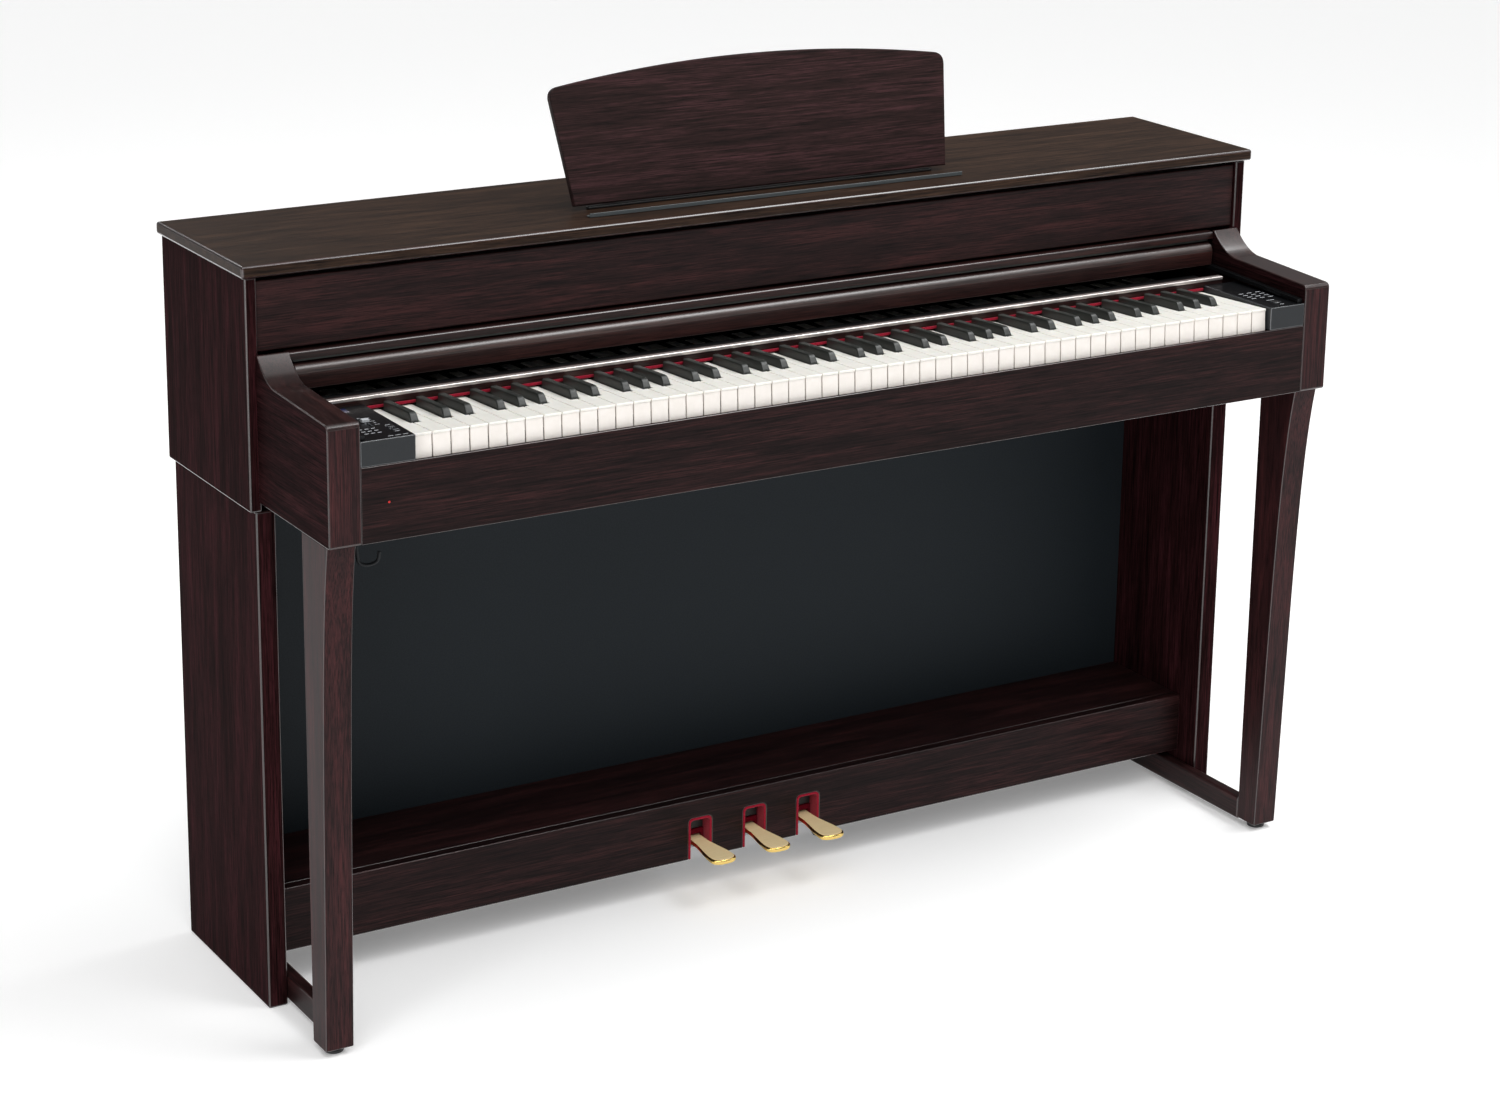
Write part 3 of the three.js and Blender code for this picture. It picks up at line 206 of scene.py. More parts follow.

# %% [markdown]
# ## From parts to a piece
# A part is a pair of arrays: points in millimetres and faces. A piece joins its parts into one mesh at the
# origin, rides on a body of the CAD model and stands for the CAD node with the same shape. Flat faces and
# rounded edges get different finishes, as on real furniture, where the edges are buffed to a brighter gloss; on
# some parts the edges are also painted lighter, a painted highlight.


# %% Finishes by direction
SQUARE = 0.985  # a face is on a rounded edge when no part of its unit normal reaches this


def polish_edges(mesh, finish, square):
    """Gives finish to each face whose normal has no part larger than square, which is every rounded edge."""
    mesh.materials.append(finish)
    normals = np.empty(len(mesh.polygons) * 3)
    mesh.polygons.foreach_get("normal", normals)
    index = np.empty(len(mesh.polygons), np.int32)
    mesh.polygons.foreach_get("material_index", index)
    index[np.abs(normals.reshape(-1, 3)).max(1) < square] = len(mesh.materials) - 1
    mesh.polygons.foreach_set("material_index", index)


def face_finish(mesh, finish, direction):
    """Gives finish to each face whose normal points along direction, within 8 degrees."""
    mesh.materials.append(finish)
    for polygon in mesh.polygons:
        if polygon.normal.dot(Vector(direction)) > 0.99:
            polygon.material_index = len(mesh.materials) - 1


print("a rounded edge starts", round(math.degrees(math.acos(SQUARE)), 1), "degrees from the flat")


# %% Placing
SMOOTH_UP_TO = math.radians(50)  # the sharpest bend that is still shaded as a curve


def placed(mesh, name, body, stands_for):
    """Smooth rounded edges beside flats that stay flat, then the body and the node it stands for."""
    mesh.polygons.foreach_set("use_smooth", np.full(len(mesh.polygons), True))
    mesh.update()
    mesh.set_sharp_from_angle(angle=SMOOTH_UP_TO)
    made = bpy.data.objects.new(name, mesh)
    scene.collection.objects.link(made)
    flats = made.modifiers.new("flats_stay_flat", "WEIGHTED_NORMAL")
    flats.keep_sharp = True
    flats.weight = 100
    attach(made, body)
    if stands_for:
        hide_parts(*stands_for)
    return made


print("curves are smooth up to", round(math.degrees(SMOOTH_UP_TO)), "degrees")


# %% Joining parts
def piece(name, parts, finish, body, stands_for=(), edge_finish=None, square=SQUARE):
    """Joins parts into one mesh at the origin. A part is (points, faces) in millimetres; finish is one
    material, or one for each part. edge_finish goes on the faces that lie square to none of the three axes."""
    finishes = finish if isinstance(finish, list) else [finish] * len(parts)
    palette = list(dict.fromkeys(finishes))
    points = np.concatenate([p for p, _ in parts])
    starts = np.cumsum([0] + [len(p) for p, _ in parts])
    faces = [[v + start for v in f] for (_, part), start in zip(parts, starts) for f in part]
    which = np.concatenate([np.full(len(f), palette.index(m)) for (_, f), m in zip(parts, finishes)])
    mesh = bpy.data.meshes.new(name)
    mesh.from_pydata((points * MM).tolist(), [], faces)
    for material in palette:
        mesh.materials.append(material)
    mesh.polygons.foreach_set("material_index", which.astype(np.int32))
    mesh.update()
    if edge_finish:
        polish_edges(mesh, edge_finish, square)
    return placed(mesh, name, body, stands_for)


print("CAD nodes that pieces can stand for:", len(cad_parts))


# %% Softened copies
def softened(node_name, finish, radius, body, edge_finish=None, top_finish=None):
    """A copy of a CAD solid: its loose triangles are merged and its sharp edges rounded by radius (mm)."""
    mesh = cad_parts[node_name].data.copy()
    mesh.materials.clear()
    work = bmesh.new()
    work.from_mesh(mesh)
    bmesh.ops.remove_doubles(work, verts=work.verts, dist=1e-6)
    bmesh.ops.dissolve_limit(work, angle_limit=math.radians(1), verts=work.verts, edges=work.edges)
    sharp = [e for e in work.edges if len(e.link_faces) == 2 and e.calc_face_angle() > math.radians(35)]
    bmesh.ops.bevel(
        work, geom=sharp, offset=radius * MM, segments=3, profile=0.5, affect="EDGES", clamp_overlap=True
    )
    work.to_mesh(mesh)
    work.free()
    mesh.materials.append(finish)
    mesh.polygons.foreach_set("material_index", np.zeros(len(mesh.polygons), np.int32))
    if edge_finish:
        polish_edges(mesh, edge_finish, SQUARE)
    if top_finish:
        face_finish(mesh, top_finish, (0, 0, 1))
    return placed(mesh, f"{node_name}_rounded", body, [node_name])


print("softened copies are ready")


# %% Boards and mouldings
def board(node_name, edge):
    """The CAD box of a node as a board: a rounded rectangle carried along its longest side."""
    low, high = box_mm(node_name)
    axis = int(np.argmax(high - low))
    a, b = [k for k in range(3) if k != axis]
    outline = fillet(rectangle(low[a], high[a], low[b], high[b]), 1.6 * edge)
    return carried(outline, "XYZ"[axis], (low[axis], high[axis]), edge)


def moulding(node_name, outline, edge):
    """An outline drawn in (y, z), carried along the whole width of a node's CAD box."""
    low, high = box_mm(node_name)
    return carried(outline, "X", (low[0], high[0]), edge)


def case_board(name, node_name, edge, finish, edge_finish=None):
    """A plain board of the case. edge is the radius of its rounded edges in millimetres."""
    piece(name, [board(node_name, edge)], finish, "case", [node_name], edge_finish)


print("mesh tools ready")

# %% [markdown]
# ## Finishes
# The cabinet is fibreboard under a printed rosewood laminate with a satin lacquer. Its look comes from long
# streaks: broad bands of red-brown, narrow dark vessels and very fine pores. Each is a noise pattern stretched
# along the grain, at the width it has in real wood. An image of wood would repeat; noise does not.


# %% Colour
def linear(hex_colour):
    """sRGB hex to linear: c / 12.92 for small values, otherwise ((c + 0.055) / 1.055) ^ 2.4."""
    c = np.array([int(hex_colour[i : i + 2], 16) for i in (1, 3, 5)]) / 255
    return (*np.where(c <= 0.04045, c / 12.92, ((c + 0.055) / 1.055) ** 2.4).tolist(), 1.0)


print("a middle grey, #808080, is", round(linear("#808080")[0], 3), "in linear light")


# %% Nodes and materials
def node(tree, kind, inputs=None, **settings):
    """Adds one node. inputs maps a socket's name or number to a value or to another node's output."""
    made = tree.nodes.new("ShaderNode" + kind)
    for key, value in settings.items():
        setattr(made, key, value)
    for key, value in (inputs or {}).items():
        if isinstance(value, bpy.types.NodeSocket):
            tree.links.new(value, made.inputs[key])
        else:
            made.inputs[key].default_value = value
    return made


def new_material(name, **constants):
    """An empty material with its Principled shader, whose constant values are set on its own sockets."""
    material = bpy.data.materials.new(name)
    material.use_nodes = True
    tree = material.node_tree
    tree.nodes.clear()
    shader = node(tree, "BsdfPrincipled", {k.replace("_", " "): v for k, v in constants.items()})
    output = node(tree, "OutputMaterial", {"Surface": shader.outputs[0]})
    output.location = (300, 0)
    return material, tree, shader


def ramp(tree, factor, stops):
    """A colour ramp: stops are (place, colour)."""
    made = node(tree, "ValToRGB", {0: factor})
    elements = made.color_ramp.elements
    while len(elements) < len(stops):
        elements.new(0.5)
    for element, (place, colour) in zip(elements, stops):
        element.position = place
        element.color = linear(colour) if isinstance(colour, str) else (colour, colour, colour, 1)
    return made.outputs[0]


print("materials before the first finish:", len(bpy.data.materials))


# %% Noise along the grain
def stretched_noise(tree, length_mm, width_mm, grain, detail=4, distortion=0.0, offset=0.0):
    """Noise whose cells are length_mm long along the grain and width_mm across it."""
    coordinates = node(tree, "TexCoord").outputs["Object"]
    scale = [1000 / width_mm] * 3
    scale["XYZ".index(grain)] = 1000 / length_mm
    place = (offset, offset * 0.7, offset * 1.3)
    mapped = node(tree, "Mapping", {"Vector": coordinates, "Scale": scale, "Location": place}).outputs[0]
    inputs = {"Vector": mapped, "Scale": 1.0, "Detail": detail, "Roughness": 0.6, "Distortion": distortion}
    return node(tree, "TexNoise", inputs).outputs["Fac"]


print("a 16 mm band has", 1000 / 16, "cells to the metre")

# %% Rosewood laminate
BAND, STREAK, PORE = (260, 16), (60, 1.3), (16, 0.7)  # length and width in millimetres
print("rosewood pattern in mm: bands", BAND, "streaks", STREAK, "pores", PORE)


def rosewood(name, grain, tones=("#120809", "#241414", "#402222"), offset=0.0, rough=0.42, **constants):
    """Laminate with its grain along one axis. tones are its dark, middle and light bands; offset shifts the
    pattern, so that no two boards show the same streaks."""
    settings = {"IOR": 1.5, "Specular_IOR_Level": 0.14, **constants}
    material, tree, shader = new_material(name, **settings)
    bands = stretched_noise(tree, *BAND, grain, 4, 0.5, offset)
    streaks = stretched_noise(tree, *STREAK, grain, 5, 0.2, offset + 3)
    pores = stretched_noise(tree, *PORE, grain, 3, 0.0, offset + 7)
    mixed = node(tree, "Mix", {0: 0.6, 2: bands, 3: streaks}, data_type="FLOAT").outputs[0]
    colour = ramp(tree, mixed, list(zip((0.36, 0.5, 0.64), tones)))
    vessel = ramp(tree, streaks, [(0.34, 0.4), (0.45, 1.0)])
    pore = ramp(tree, pores, [(0.36, 0.5), (0.48, 1.0)])
    for layer in (vessel, pore):
        inputs = {0: 1.0, 6: colour, 7: layer}
        colour = node(tree, "Mix", inputs, data_type="RGBA", blend_type="MULTIPLY").outputs[2]
    tree.links.new(colour, shader.inputs["Base Color"])
    roughness = node(tree, "MapRange", {0: streaks, 3: rough - 0.05, 4: rough + 0.08}).outputs[0]
    tree.links.new(roughness, shader.inputs["Roughness"])
    bump = node(tree, "Bump", {"Strength": 0.1, "Distance": 0.0002, "Height": pores})
    tree.links.new(bump.outputs[0], shader.inputs["Normal"])
    return material


# %% [markdown]
# A flat board has a matt lacquer. Its clear reflection is kept low, and lowest on the upright faces, because a
# pale floor would otherwise lay a grey veil over the wood. The tones differ a little from board to board: each
# board has its own grain, and its tones are also painted lighter or darker for the light it gets, painted shade
# on the key slip and pedal box, painted light on the side panels and the fronts of the arms.

# %% Laminates by place
FLAT, UPRIGHT = {"Specular_IOR_Level": 0.1}, {"Specular_IOR_Level": 0.006}
wood_x = rosewood("rosewood_laminate_grain_along_x", "X")
wood_y = rosewood("rosewood_laminate_grain_along_y", "Y", offset=11)
wood_z = rosewood("rosewood_laminate_grain_along_z", "Z", ("#180b0c", "#2c1718", "#462223"), 23)
lid_wood = rosewood("rosewood_laminate_lid", "X", ("#19100c", "#2f2119", "#463327"), 31, 0.4, **FLAT)
# darker tones for the key slip and pedal box: painted shade
shade_darkened_tones = ("#0e0707", "#1e1111", "#371e1e")
shade_darkened_wood = rosewood("rosewood_laminate_keyslip_and_pedal_box_painted_shade", "X", shade_darkened_tones, 11, **FLAT)
rest_wood = rosewood("rosewood_laminate_music_rest", "X", ("#140a09", "#261615", "#42272a"), 47, 0.48)
# lighter tones for the side panels: painted light, lifting the faces that stand in shade
shade_lifted_side_tones = ("#110707", "#261314", "#3f1e22")
shade_lifted_side_wood = rosewood("rosewood_laminate_side_panels_painted_light", "Z", shade_lifted_side_tones, 37, 0.5, **UPRIGHT)
arm_wood = rosewood("rosewood_laminate_arm_faces", "Y", ("#100708", "#221213", "#381e20"), 17, 0.5, **UPRIGHT)
print("flat laminates:", len(bpy.data.materials))

# %% [markdown]
# The lacquer on rounded parts is buffed as they are made, so they carry the bright lines of the lights: they
# have a stronger reflection, and a coat over it. The arm tops and the rail's rounded top also get lighter tones
# than their flats, a painted highlight.

# %% Polished parts
arm_coat = {"Specular_IOR_Level": 0.5, "Coat_Weight": 0.5, "Coat_Roughness": 0.14}
# lighter tones than the flats: painted highlight on the arm top and the rail's round
arm_highlight_tones = ("#150b0b", "#281716", "#3c2321")
arm_satin_and_highlight = rosewood("satin_lacquered_arm_top_painted_highlight", "Y", arm_highlight_tones, 17, 0.3, **arm_coat)
name_tones = ("#180d0c", "#2a1817", "#3f2421")
name_wood = rosewood("rosewood_laminate_name_board", "X", name_tones, 61, 0.3, Specular_IOR_Level=0.3)
rail_coat = {"Specular_IOR_Level": 0.8, "Coat_Weight": 0.5, "Coat_Roughness": 0.3}
rail_highlight_tones = ("#1d1210", "#33221f", "#48302b")
rail_satin_and_highlight = rosewood("satin_lacquered_rail_round_painted_highlight", "X", rail_highlight_tones, 67, 0.34, **rail_coat)
POLISHED = {"rough": 0.28, "Specular_IOR_Level": 0.5, "Coat_Weight": 1.0, "Coat_Roughness": 0.16}
edge_x = rosewood("rosewood_edge_band_along_x", "X", offset=71, **POLISHED)
edge_y = rosewood("rosewood_edge_band_along_y", "Y", offset=73, **POLISHED)
edge_z = rosewood("rosewood_edge_band_along_z", "Z", offset=79, **POLISHED)
print("laminates:", len(bpy.data.materials))

# %% [markdown]
# Moulded plastic, felt, brass and steel are each named for what they are made of and how their surface was
# made: that decides how rough it is and how fine its texture is. A moulded part copies the fine erosion of
# its mould, so it gets a bump of about half a millimetre; felt scatters light between its fibres, so it gets
# sheen; rolled or brushed metal has lines along one direction.


# %% Plastics, felt and metals
def speckled(name, colour, second, grain_mm, rough, bump=0.1, **constants):
    """A finish with an even fine texture: two near colours mixed by noise of grain_mm cells, also its bump."""
    material, tree, shader = new_material(name, **constants)
    texture = stretched_noise(tree, grain_mm, grain_mm, "X", 4)
    tree.links.new(ramp(tree, texture, [(0.35, colour), (0.65, second)]), shader.inputs["Base Color"])
    roughness = node(tree, "MapRange", {0: texture, 3: rough - 0.05, 4: rough + 0.05}).outputs[0]
    tree.links.new(roughness, shader.inputs["Roughness"])
    height = node(tree, "Bump", {"Strength": bump, "Distance": 0.0003, "Height": texture})
    tree.links.new(height.outputs[0], shader.inputs["Normal"])
    return material


def lined(name, colour, second, length_mm, width_mm, grain, rough, bump=0.1, **constants):
    """A finish with fine lines along one direction, as brushing, rolling or a turned tool leaves."""
    material, tree, shader = new_material(name, **constants)
    texture = stretched_noise(tree, length_mm, width_mm, grain, 3)
    tree.links.new(ramp(tree, texture, [(0.3, colour), (0.7, second)]), shader.inputs["Base Color"])
    roughness = node(tree, "MapRange", {0: texture, 3: rough - 0.06, 4: rough + 0.06}).outputs[0]
    tree.links.new(roughness, shader.inputs["Roughness"])
    height = node(tree, "Bump", {"Strength": bump, "Distance": 0.0002, "Height": texture})
    tree.links.new(height.outputs[0], shader.inputs["Normal"])
    return material


print("even and lined textures can be made")

# %% Moulded, printed and coated finishes
PLASTIC = {"IOR": 1.53}
faced_board = speckled(
    "dark_faced_fibreboard", "#191e22", "#20272c", 2.0, 0.6, 0.15, IOR=1.5, Specular_IOR_Level=0.2
)
abs_plastic = speckled(
    "moulded_abs_anthracite", "#1a1d20", "#222528", 0.8, 0.42, 0.12, Specular_IOR_Level=0.3, **PLASTIC
)
control_top = speckled(
    "moulded_abs_control_top", "#08080a", "#0e0f11", 0.8, 0.35, 0.08, Specular_IOR_Level=0.2, **PLASTIC
)
edge_shine = {"Specular_IOR_Level": 0.9, "Coat_Weight": 1.0, "Coat_Roughness": 0.15}
# the edge colour is a lighter grey than the ABS body: painted highlight on the rounded edges
abs_edge_painted_highlight = speckled("polished_abs_edge_painted_highlight", "#3a3d40", "#46494d", 0.8, 0.25, 0.0, **edge_shine, **PLASTIC)
black_plastic = speckled("moulded_abs_black", "#0c0c0d", "#141416", 1.0, 0.5, 0.1, **PLASTIC)
cap_grey = speckled("moulded_abs_light_grey", "#b4b8bc", "#c4c8cc", 0.8, 0.4, 0.05, **PLASTIC)
print_white = speckled("printed_marks_pale_grey", "#b9bcc0", "#c8cbcf", 0.5, 0.5, 0.0, IOR=1.5)
display_glass = speckled(
    "tinted_display_window", "#1b2040", "#272d55", 6.0, 0.12, 0.0, IOR=1.52, Coat_Weight=0.5
)
rubber = speckled("moulded_rubber_black", "#101010", "#191919", 0.9, 0.75, 0.2, IOR=1.5)
circuit = speckled("solder_mask_green", "#0f4a2c", "#166038", 3.0, 0.4, 0.05, IOR=1.5)
trim_grey = lined("extruded_trim_grey_green", "#1d2421", "#29312d", 300, 1.2, "X", 0.34, 0.05, IOR=1.5)
ledge_grey = lined("extruded_ledge_dark_grey", "#3d4244", "#53595b", 260, 0.8, "X", 0.34, 0.08, IOR=1.5)
print("finishes so far:", len(bpy.data.materials))

# %% Keys, felt and cloth
white_key = speckled(
    "acrylic_white_key_satin", "#e9e5dd", "#eeeae3", 14.0, 0.3, 0.0, IOR=1.49, Subsurface_Weight=0.05
)
key_front = speckled("acrylic_white_key_front", "#eae4dd", "#efe9e3", 14.0, 0.36, 0.0, IOR=1.49)
stick = {"IOR": 1.5, "Specular_IOR_Level": 0.5}
black_key = lined("moulded_ebony_look_black_key", "#161917", "#262a27", 26, 0.7, "Y", 0.42, 0.2, **stick)
fibres = {"Specular_IOR_Level": 0.1, "Sheen_Weight": 0.15, "Sheen_Roughness": 0.5}
felt = speckled("pressed_wool_felt_red", "#6e081c", "#9c0f2c", 0.7, 0.95, 0.6, **fibres)
# a darker copy of the red felt, painted shade for the curtains deep in the notches
felt_shade = speckled(
    "pressed_wool_felt_red_painted_shade", "#4a0512", "#6a0a1d", 0.7, 0.95, 0.6, Specular_IOR_Level=0.1
)
cloth = speckled("speaker_cloth_black", "#0b0b0c", "#1b1b1d", 1.2, 0.9, 0.7, Sheen_Weight=0.2)
print("finishes with keys and felt:", len(bpy.data.materials))

# %% Metals
foil = {"Metallic": 0.8, "Coat_Weight": 0.6, "Coat_Roughness": 0.2}
lip_gloss = lined("polished_metal_foil_lip", "#d8d0cc", "#e2dad6", 300, 3, "X", 0.34, 0.0, **foil)
steel = lined("zinc_plated_steel", "#8b8f94", "#a4a8ad", 40, 1.0, "X", 0.38, 0.08, Metallic=1.0)
dark_steel = speckled("black_oxide_steel", "#17181a", "#232527", 1.2, 0.42, 0.06, Metallic=0.7)
brass_top = lined("satin_brass_pedal_top", "#f2d8a0", "#ffe9bd", 60, 0.6, "X", 0.5, 0.1, Metallic=0.2)
brass_edge = lined("polished_brass_pedal_edge", "#e5bf62", "#f3d68a", 60, 2.0, "Y", 0.12, 0.02, Metallic=1.0)
# a dark copy of the brass for the pivot: painted shade
brass_painted_shade = lined("brass_pedal_pivot_painted_shade", "#2e2210", "#4a3919", 40, 1.0, "Y", 0.4, 0.1, Metallic=0.8)
print("materials:", len(bpy.data.materials))

# %% [markdown]
# ## Upper case
# The lid, the two side panels and the front panel are plain boards, so each takes its size from its CAD box
# and gets a rounded edge of 1.3 to 2.8 mm. The grain runs along each board's length.

# %% Boards of the upper case
SIDES = ("left", "right")
lid_low, lid_high = box_mm("lid")
case_board("lid_board", "lid", 2.8, lid_wood, edge_x)
for side in SIDES:
    case_board(f"upper_side_board_{side}", f"upper_side_{side}", 2.2, shade_lifted_side_wood, edge_z)
case_board("front_board", "front_panel", 1.3, wood_x)
print("lid", np.round(lid_high - lid_low, 1))

# %% The groove under the lid, backed by painted shade
panel_low, panel_high = box_mm("front_panel")
groove = rectangle(panel_high[1] + 1, panel_high[1] + 5, panel_high[2] - 12, lid_low[2] - 0.5)
groove_part = carried(fillet(groove, 0.5), "X", (panel_low[0], panel_high[0]), 0.3)
# a black strip behind the gap under the lid, painted shade for the dark inside of the case
piece("groove_painted_shade_backing", [groove_part], black_plastic, "case")
print("groove under the lid:", round(lid_low[2] - panel_high[2], 1), "mm")

# %% [markdown]
# ## Arms
# An arm is a block sawn to one side profile: flat top, nose rounded at the front and a hollow curve that
# climbs to the case at the back. The profile is drawn in (y, z) and carried across the arm's 40 mm.

# %% Arms
arm_low, arm_high = box_mm("arm_left")
nose_z, flat_rise, curve_run = 786.0, 5.5, 50.0
arm_back, arm_front = arm_high[1], arm_low[1]
middle = (arm_back - curve_run / 2, nose_z + flat_rise + 4)
curve = bezier([(arm_back - curve_run, nose_z + flat_rise), middle, (arm_back - 4, arm_high[2])], 22)
nose = bezier([(arm_front, nose_z - 8), (arm_front, nose_z), (arm_front + 8, nose_z)], 8)
foot = [(arm_back, arm_low[2]), (arm_front, arm_low[2])]
arm_outline = np.concatenate([foot, nose, curve, [(arm_back, arm_high[2])]])
arm_radii = np.full(len(arm_outline), 1.0)
arm_radii[[0, 1]] = 3.0
for side in SIDES:
    low, high = box_mm(f"arm_{side}")
    part = carried(fillet(arm_outline, arm_radii, 3), "X", (low[0], high[0]), 1.5, 4)
    # 0.9998 takes in the gently sloping top, which is buffed like the edges and shares their lighter tones, a
    # painted highlight
    arm = piece(f"arm_block_{side}", [part], arm_wood, "case", [f"arm_{side}"], arm_satin_and_highlight, 0.9998)
    # the front faces take the lighter tones of wood_z: painted light, for the front that faces the light
    face_finish(arm.data, wood_z, (0, -1, 0))
print("arm outline points", len(arm_outline))

# %% [markdown]
# ## Key slip, fascia and name board
# The key slip hides the key fronts' lower half, the fascia closes the case over the sliding cover, and the
# name board stands behind the keys. Its polished lip catches a bright line of light.

# %% Key slip
slip_low, slip_high = box_mm("keyslip")
slip_outline = [
    (slip_low[1], slip_low[2]),
    (slip_low[1], slip_high[2]),
    (slip_low[1] + 6, slip_high[2]),
    (slip_low[1] + 6, slip_high[2] - 20),
    (slip_high[1], slip_high[2] - 20),
    (slip_high[1], slip_low[2]),
]
slip = moulding("keyslip", fillet(slip_outline, 1.6), 0.4)
piece("key_slip_board", [slip], shade_darkened_wood, "case", ["keyslip"], edge_x)
lamp = turned([(0, 0.0), (1.3, 0.0), (1.5, 0.5), (1.2, 1.0), (0, 1.2)], (-640, slip_low[1] - 0.4, 688), "Y", 20)
lamp_glass = speckled("power_lamp_red_lens", "#a01818", "#c02020", 2.0, 0.2, 0.0, IOR=1.49)
piece("power_lamp", [lamp], lamp_glass, "case")
print("key slip", np.round(slip_high - slip_low, 1))

# %% Fascia and the trim under it
fascia_low, fascia_high = box_mm("cover_fascia")
fascia = rectangle(fascia_low[1], fascia_high[1], fascia_low[2], fascia_high[2])
fascia_part = moulding("cover_fascia", fillet(fascia, [1, 1, 1, 4.5], 8), 0.4)
strip = rectangle(fascia_low[1] + 2.5, fascia_low[1] + 6, fascia_low[2] - 3.2, fascia_low[2] - 0.2)
strip_part = carried(fillet(strip, 0.8), "X", (fascia_low[0] + 6, fascia_high[0] - 6), 0.4)
finishes = [name_wood, trim_grey]
piece("fascia_moulding", [fascia_part, strip_part], finishes, "case", ["cover_fascia"], edge_x)
print("fascia", np.round(fascia_high - fascia_low, 1))

# %% Name board and felt
name_low, name_high = box_mm("name_board")
name_outline = rectangle(name_low[1] + 0.8, name_low[1] + 12, name_low[2], name_high[2] - 0.2)
name_part = moulding("name_board", fillet(name_outline, [0.8, 0.8, 1, 2.4], 6), 0.5)
lip_outline = rectangle(name_low[1], name_low[1] + 8, name_high[2] - 4.4, name_high[2])
lip_part = moulding("name_board", fillet(lip_outline, [0.8, 0.8, 0.8, 3.4], 10), 0.6)
shelf_outline = rectangle(name_low[1] + 11, name_high[1], name_low[2], name_low[2] + 3)
shelf_part = moulding("name_board", fillet(shelf_outline, 0.5), 0.3)
parts = [name_part, lip_part, shelf_part]
piece("name_board_moulding", parts, [name_wood, lip_gloss, black_plastic], "case", ["name_board"])
felt_low, felt_high = box_mm("key_felt")
felt_outline = rectangle(felt_low[1], felt_high[1], felt_low[2], felt_high[2])
felt_part = moulding("key_felt", fillet(felt_outline, 0.8), 0.6)
piece("key_felt_strip", [felt_part], felt, "case", ["key_felt"])
print("name board top", round(name_high[2], 1))

# %% [markdown]
# ## Keys
# A white key is an acrylic cap on a body: its outline is wide at the head and cut away beside the black keys.
# The caps are 3 mm thick with a softly rounded rim, and their fronts overhang a front plate by 1 mm. A black
# key is a moulded stick: a side profile with a sloping front, carried across its width and narrowed upwards.
# All are drawn level about the balance axis, then tilted by the 3 degrees at which the keyboard lies.

# %% Key places
PITCH, KEY_GAP, KEY_TILT = 23.5, 1.0, -3.0
REACH, TOP_RISE, THICK, HEAD, BLACK_SLOT = 233.5, 7.8, 16.0, 50.0, 13.6
WHITES, MIDDLE_C = 52, 23
keyboard_left = 6 - WHITES * PITCH / 2
tilt = math.radians(-KEY_TILT)
balance_y = -220 + REACH * math.cos(tilt) - TOP_RISE * math.sin(tilt)
balance_z = 760 - REACH * math.sin(tilt) - TOP_RISE * math.cos(tilt)
print("keyboard", WHITES * PITCH, "mm wide, balance axis at", round(balance_y, 1), round(balance_z, 1))


def step_of(i):
    """The place of white key i in its octave: 0 is C. The lowest key is an A."""
    return (i + 5) % 7


def black_after(i):
    """There is no black key after E, B and the last white key."""
    return step_of(i) not in (2, 6) and i < WHITES - 1


def black_centre(i):
    """Within C to E, and within F to B, all key tails are equally wide."""
    step = step_of(i)
    start, whites = (0, 3) if step < 3 else (3, 4)
    tail = whites * PITCH / (2 * whites - 1)
    return keyboard_left + (i - step + start) * PITCH + (2 * (step - start) + 1.5) * tail


# %% White and black keys
def white_parts(i):
    """Cap, tail, head and front plate of white key i."""
    left = keyboard_left + i * PITCH + KEY_GAP / 2
    right = left + PITCH - KEY_GAP
    tail_left = black_centre(i - 1) + BLACK_SLOT / 2 if i > 0 and black_after(i - 1) else left
    tail_right = black_centre(i) - BLACK_SLOT / 2 if black_after(i) else right
    front, head, back = -REACH, -REACH + HEAD, 30.0
    outline = [(left, front), (right, front), (right, head), (tail_right, head), (tail_right, back)]
    outline += [(tail_left, back), (tail_left, head), (left, head)]
    clean = [p for p, q in zip(outline, outline[-1:] + outline[:-1]) if math.dist(p, q) > 1e-6]
    cap = carried(fillet(clean, 1.0, 2), "Z", (TOP_RISE - 3.2, TOP_RISE), 0.8, 2)
    lower = fillet(rectangle(tail_left + 0.6, tail_right - 0.6, head, back - 1), 0.6, 1)
    body = carried(lower, "Z", (TOP_RISE - THICK, TOP_RISE - 3), 0.3, 1)
    head_body = fillet(rectangle(left + 0.5, right - 0.5, front + 1.2, head - 0.5), 0.6, 1)
    head_part = carried(head_body, "Z", (TOP_RISE - THICK, TOP_RISE - 3), 0.3, 1)
    plate = fillet(rectangle(left + 0.3, right - 0.3, front + 1.0, front + 4.0), 0.7, 2)
    front_part = carried(plate, "Z", (TOP_RISE - 29.5, TOP_RISE - 3), 0.3, 1)
    return [tilted(p, (balance_y, balance_z), KEY_TILT) for p in (cap, body, head_part, front_part)]


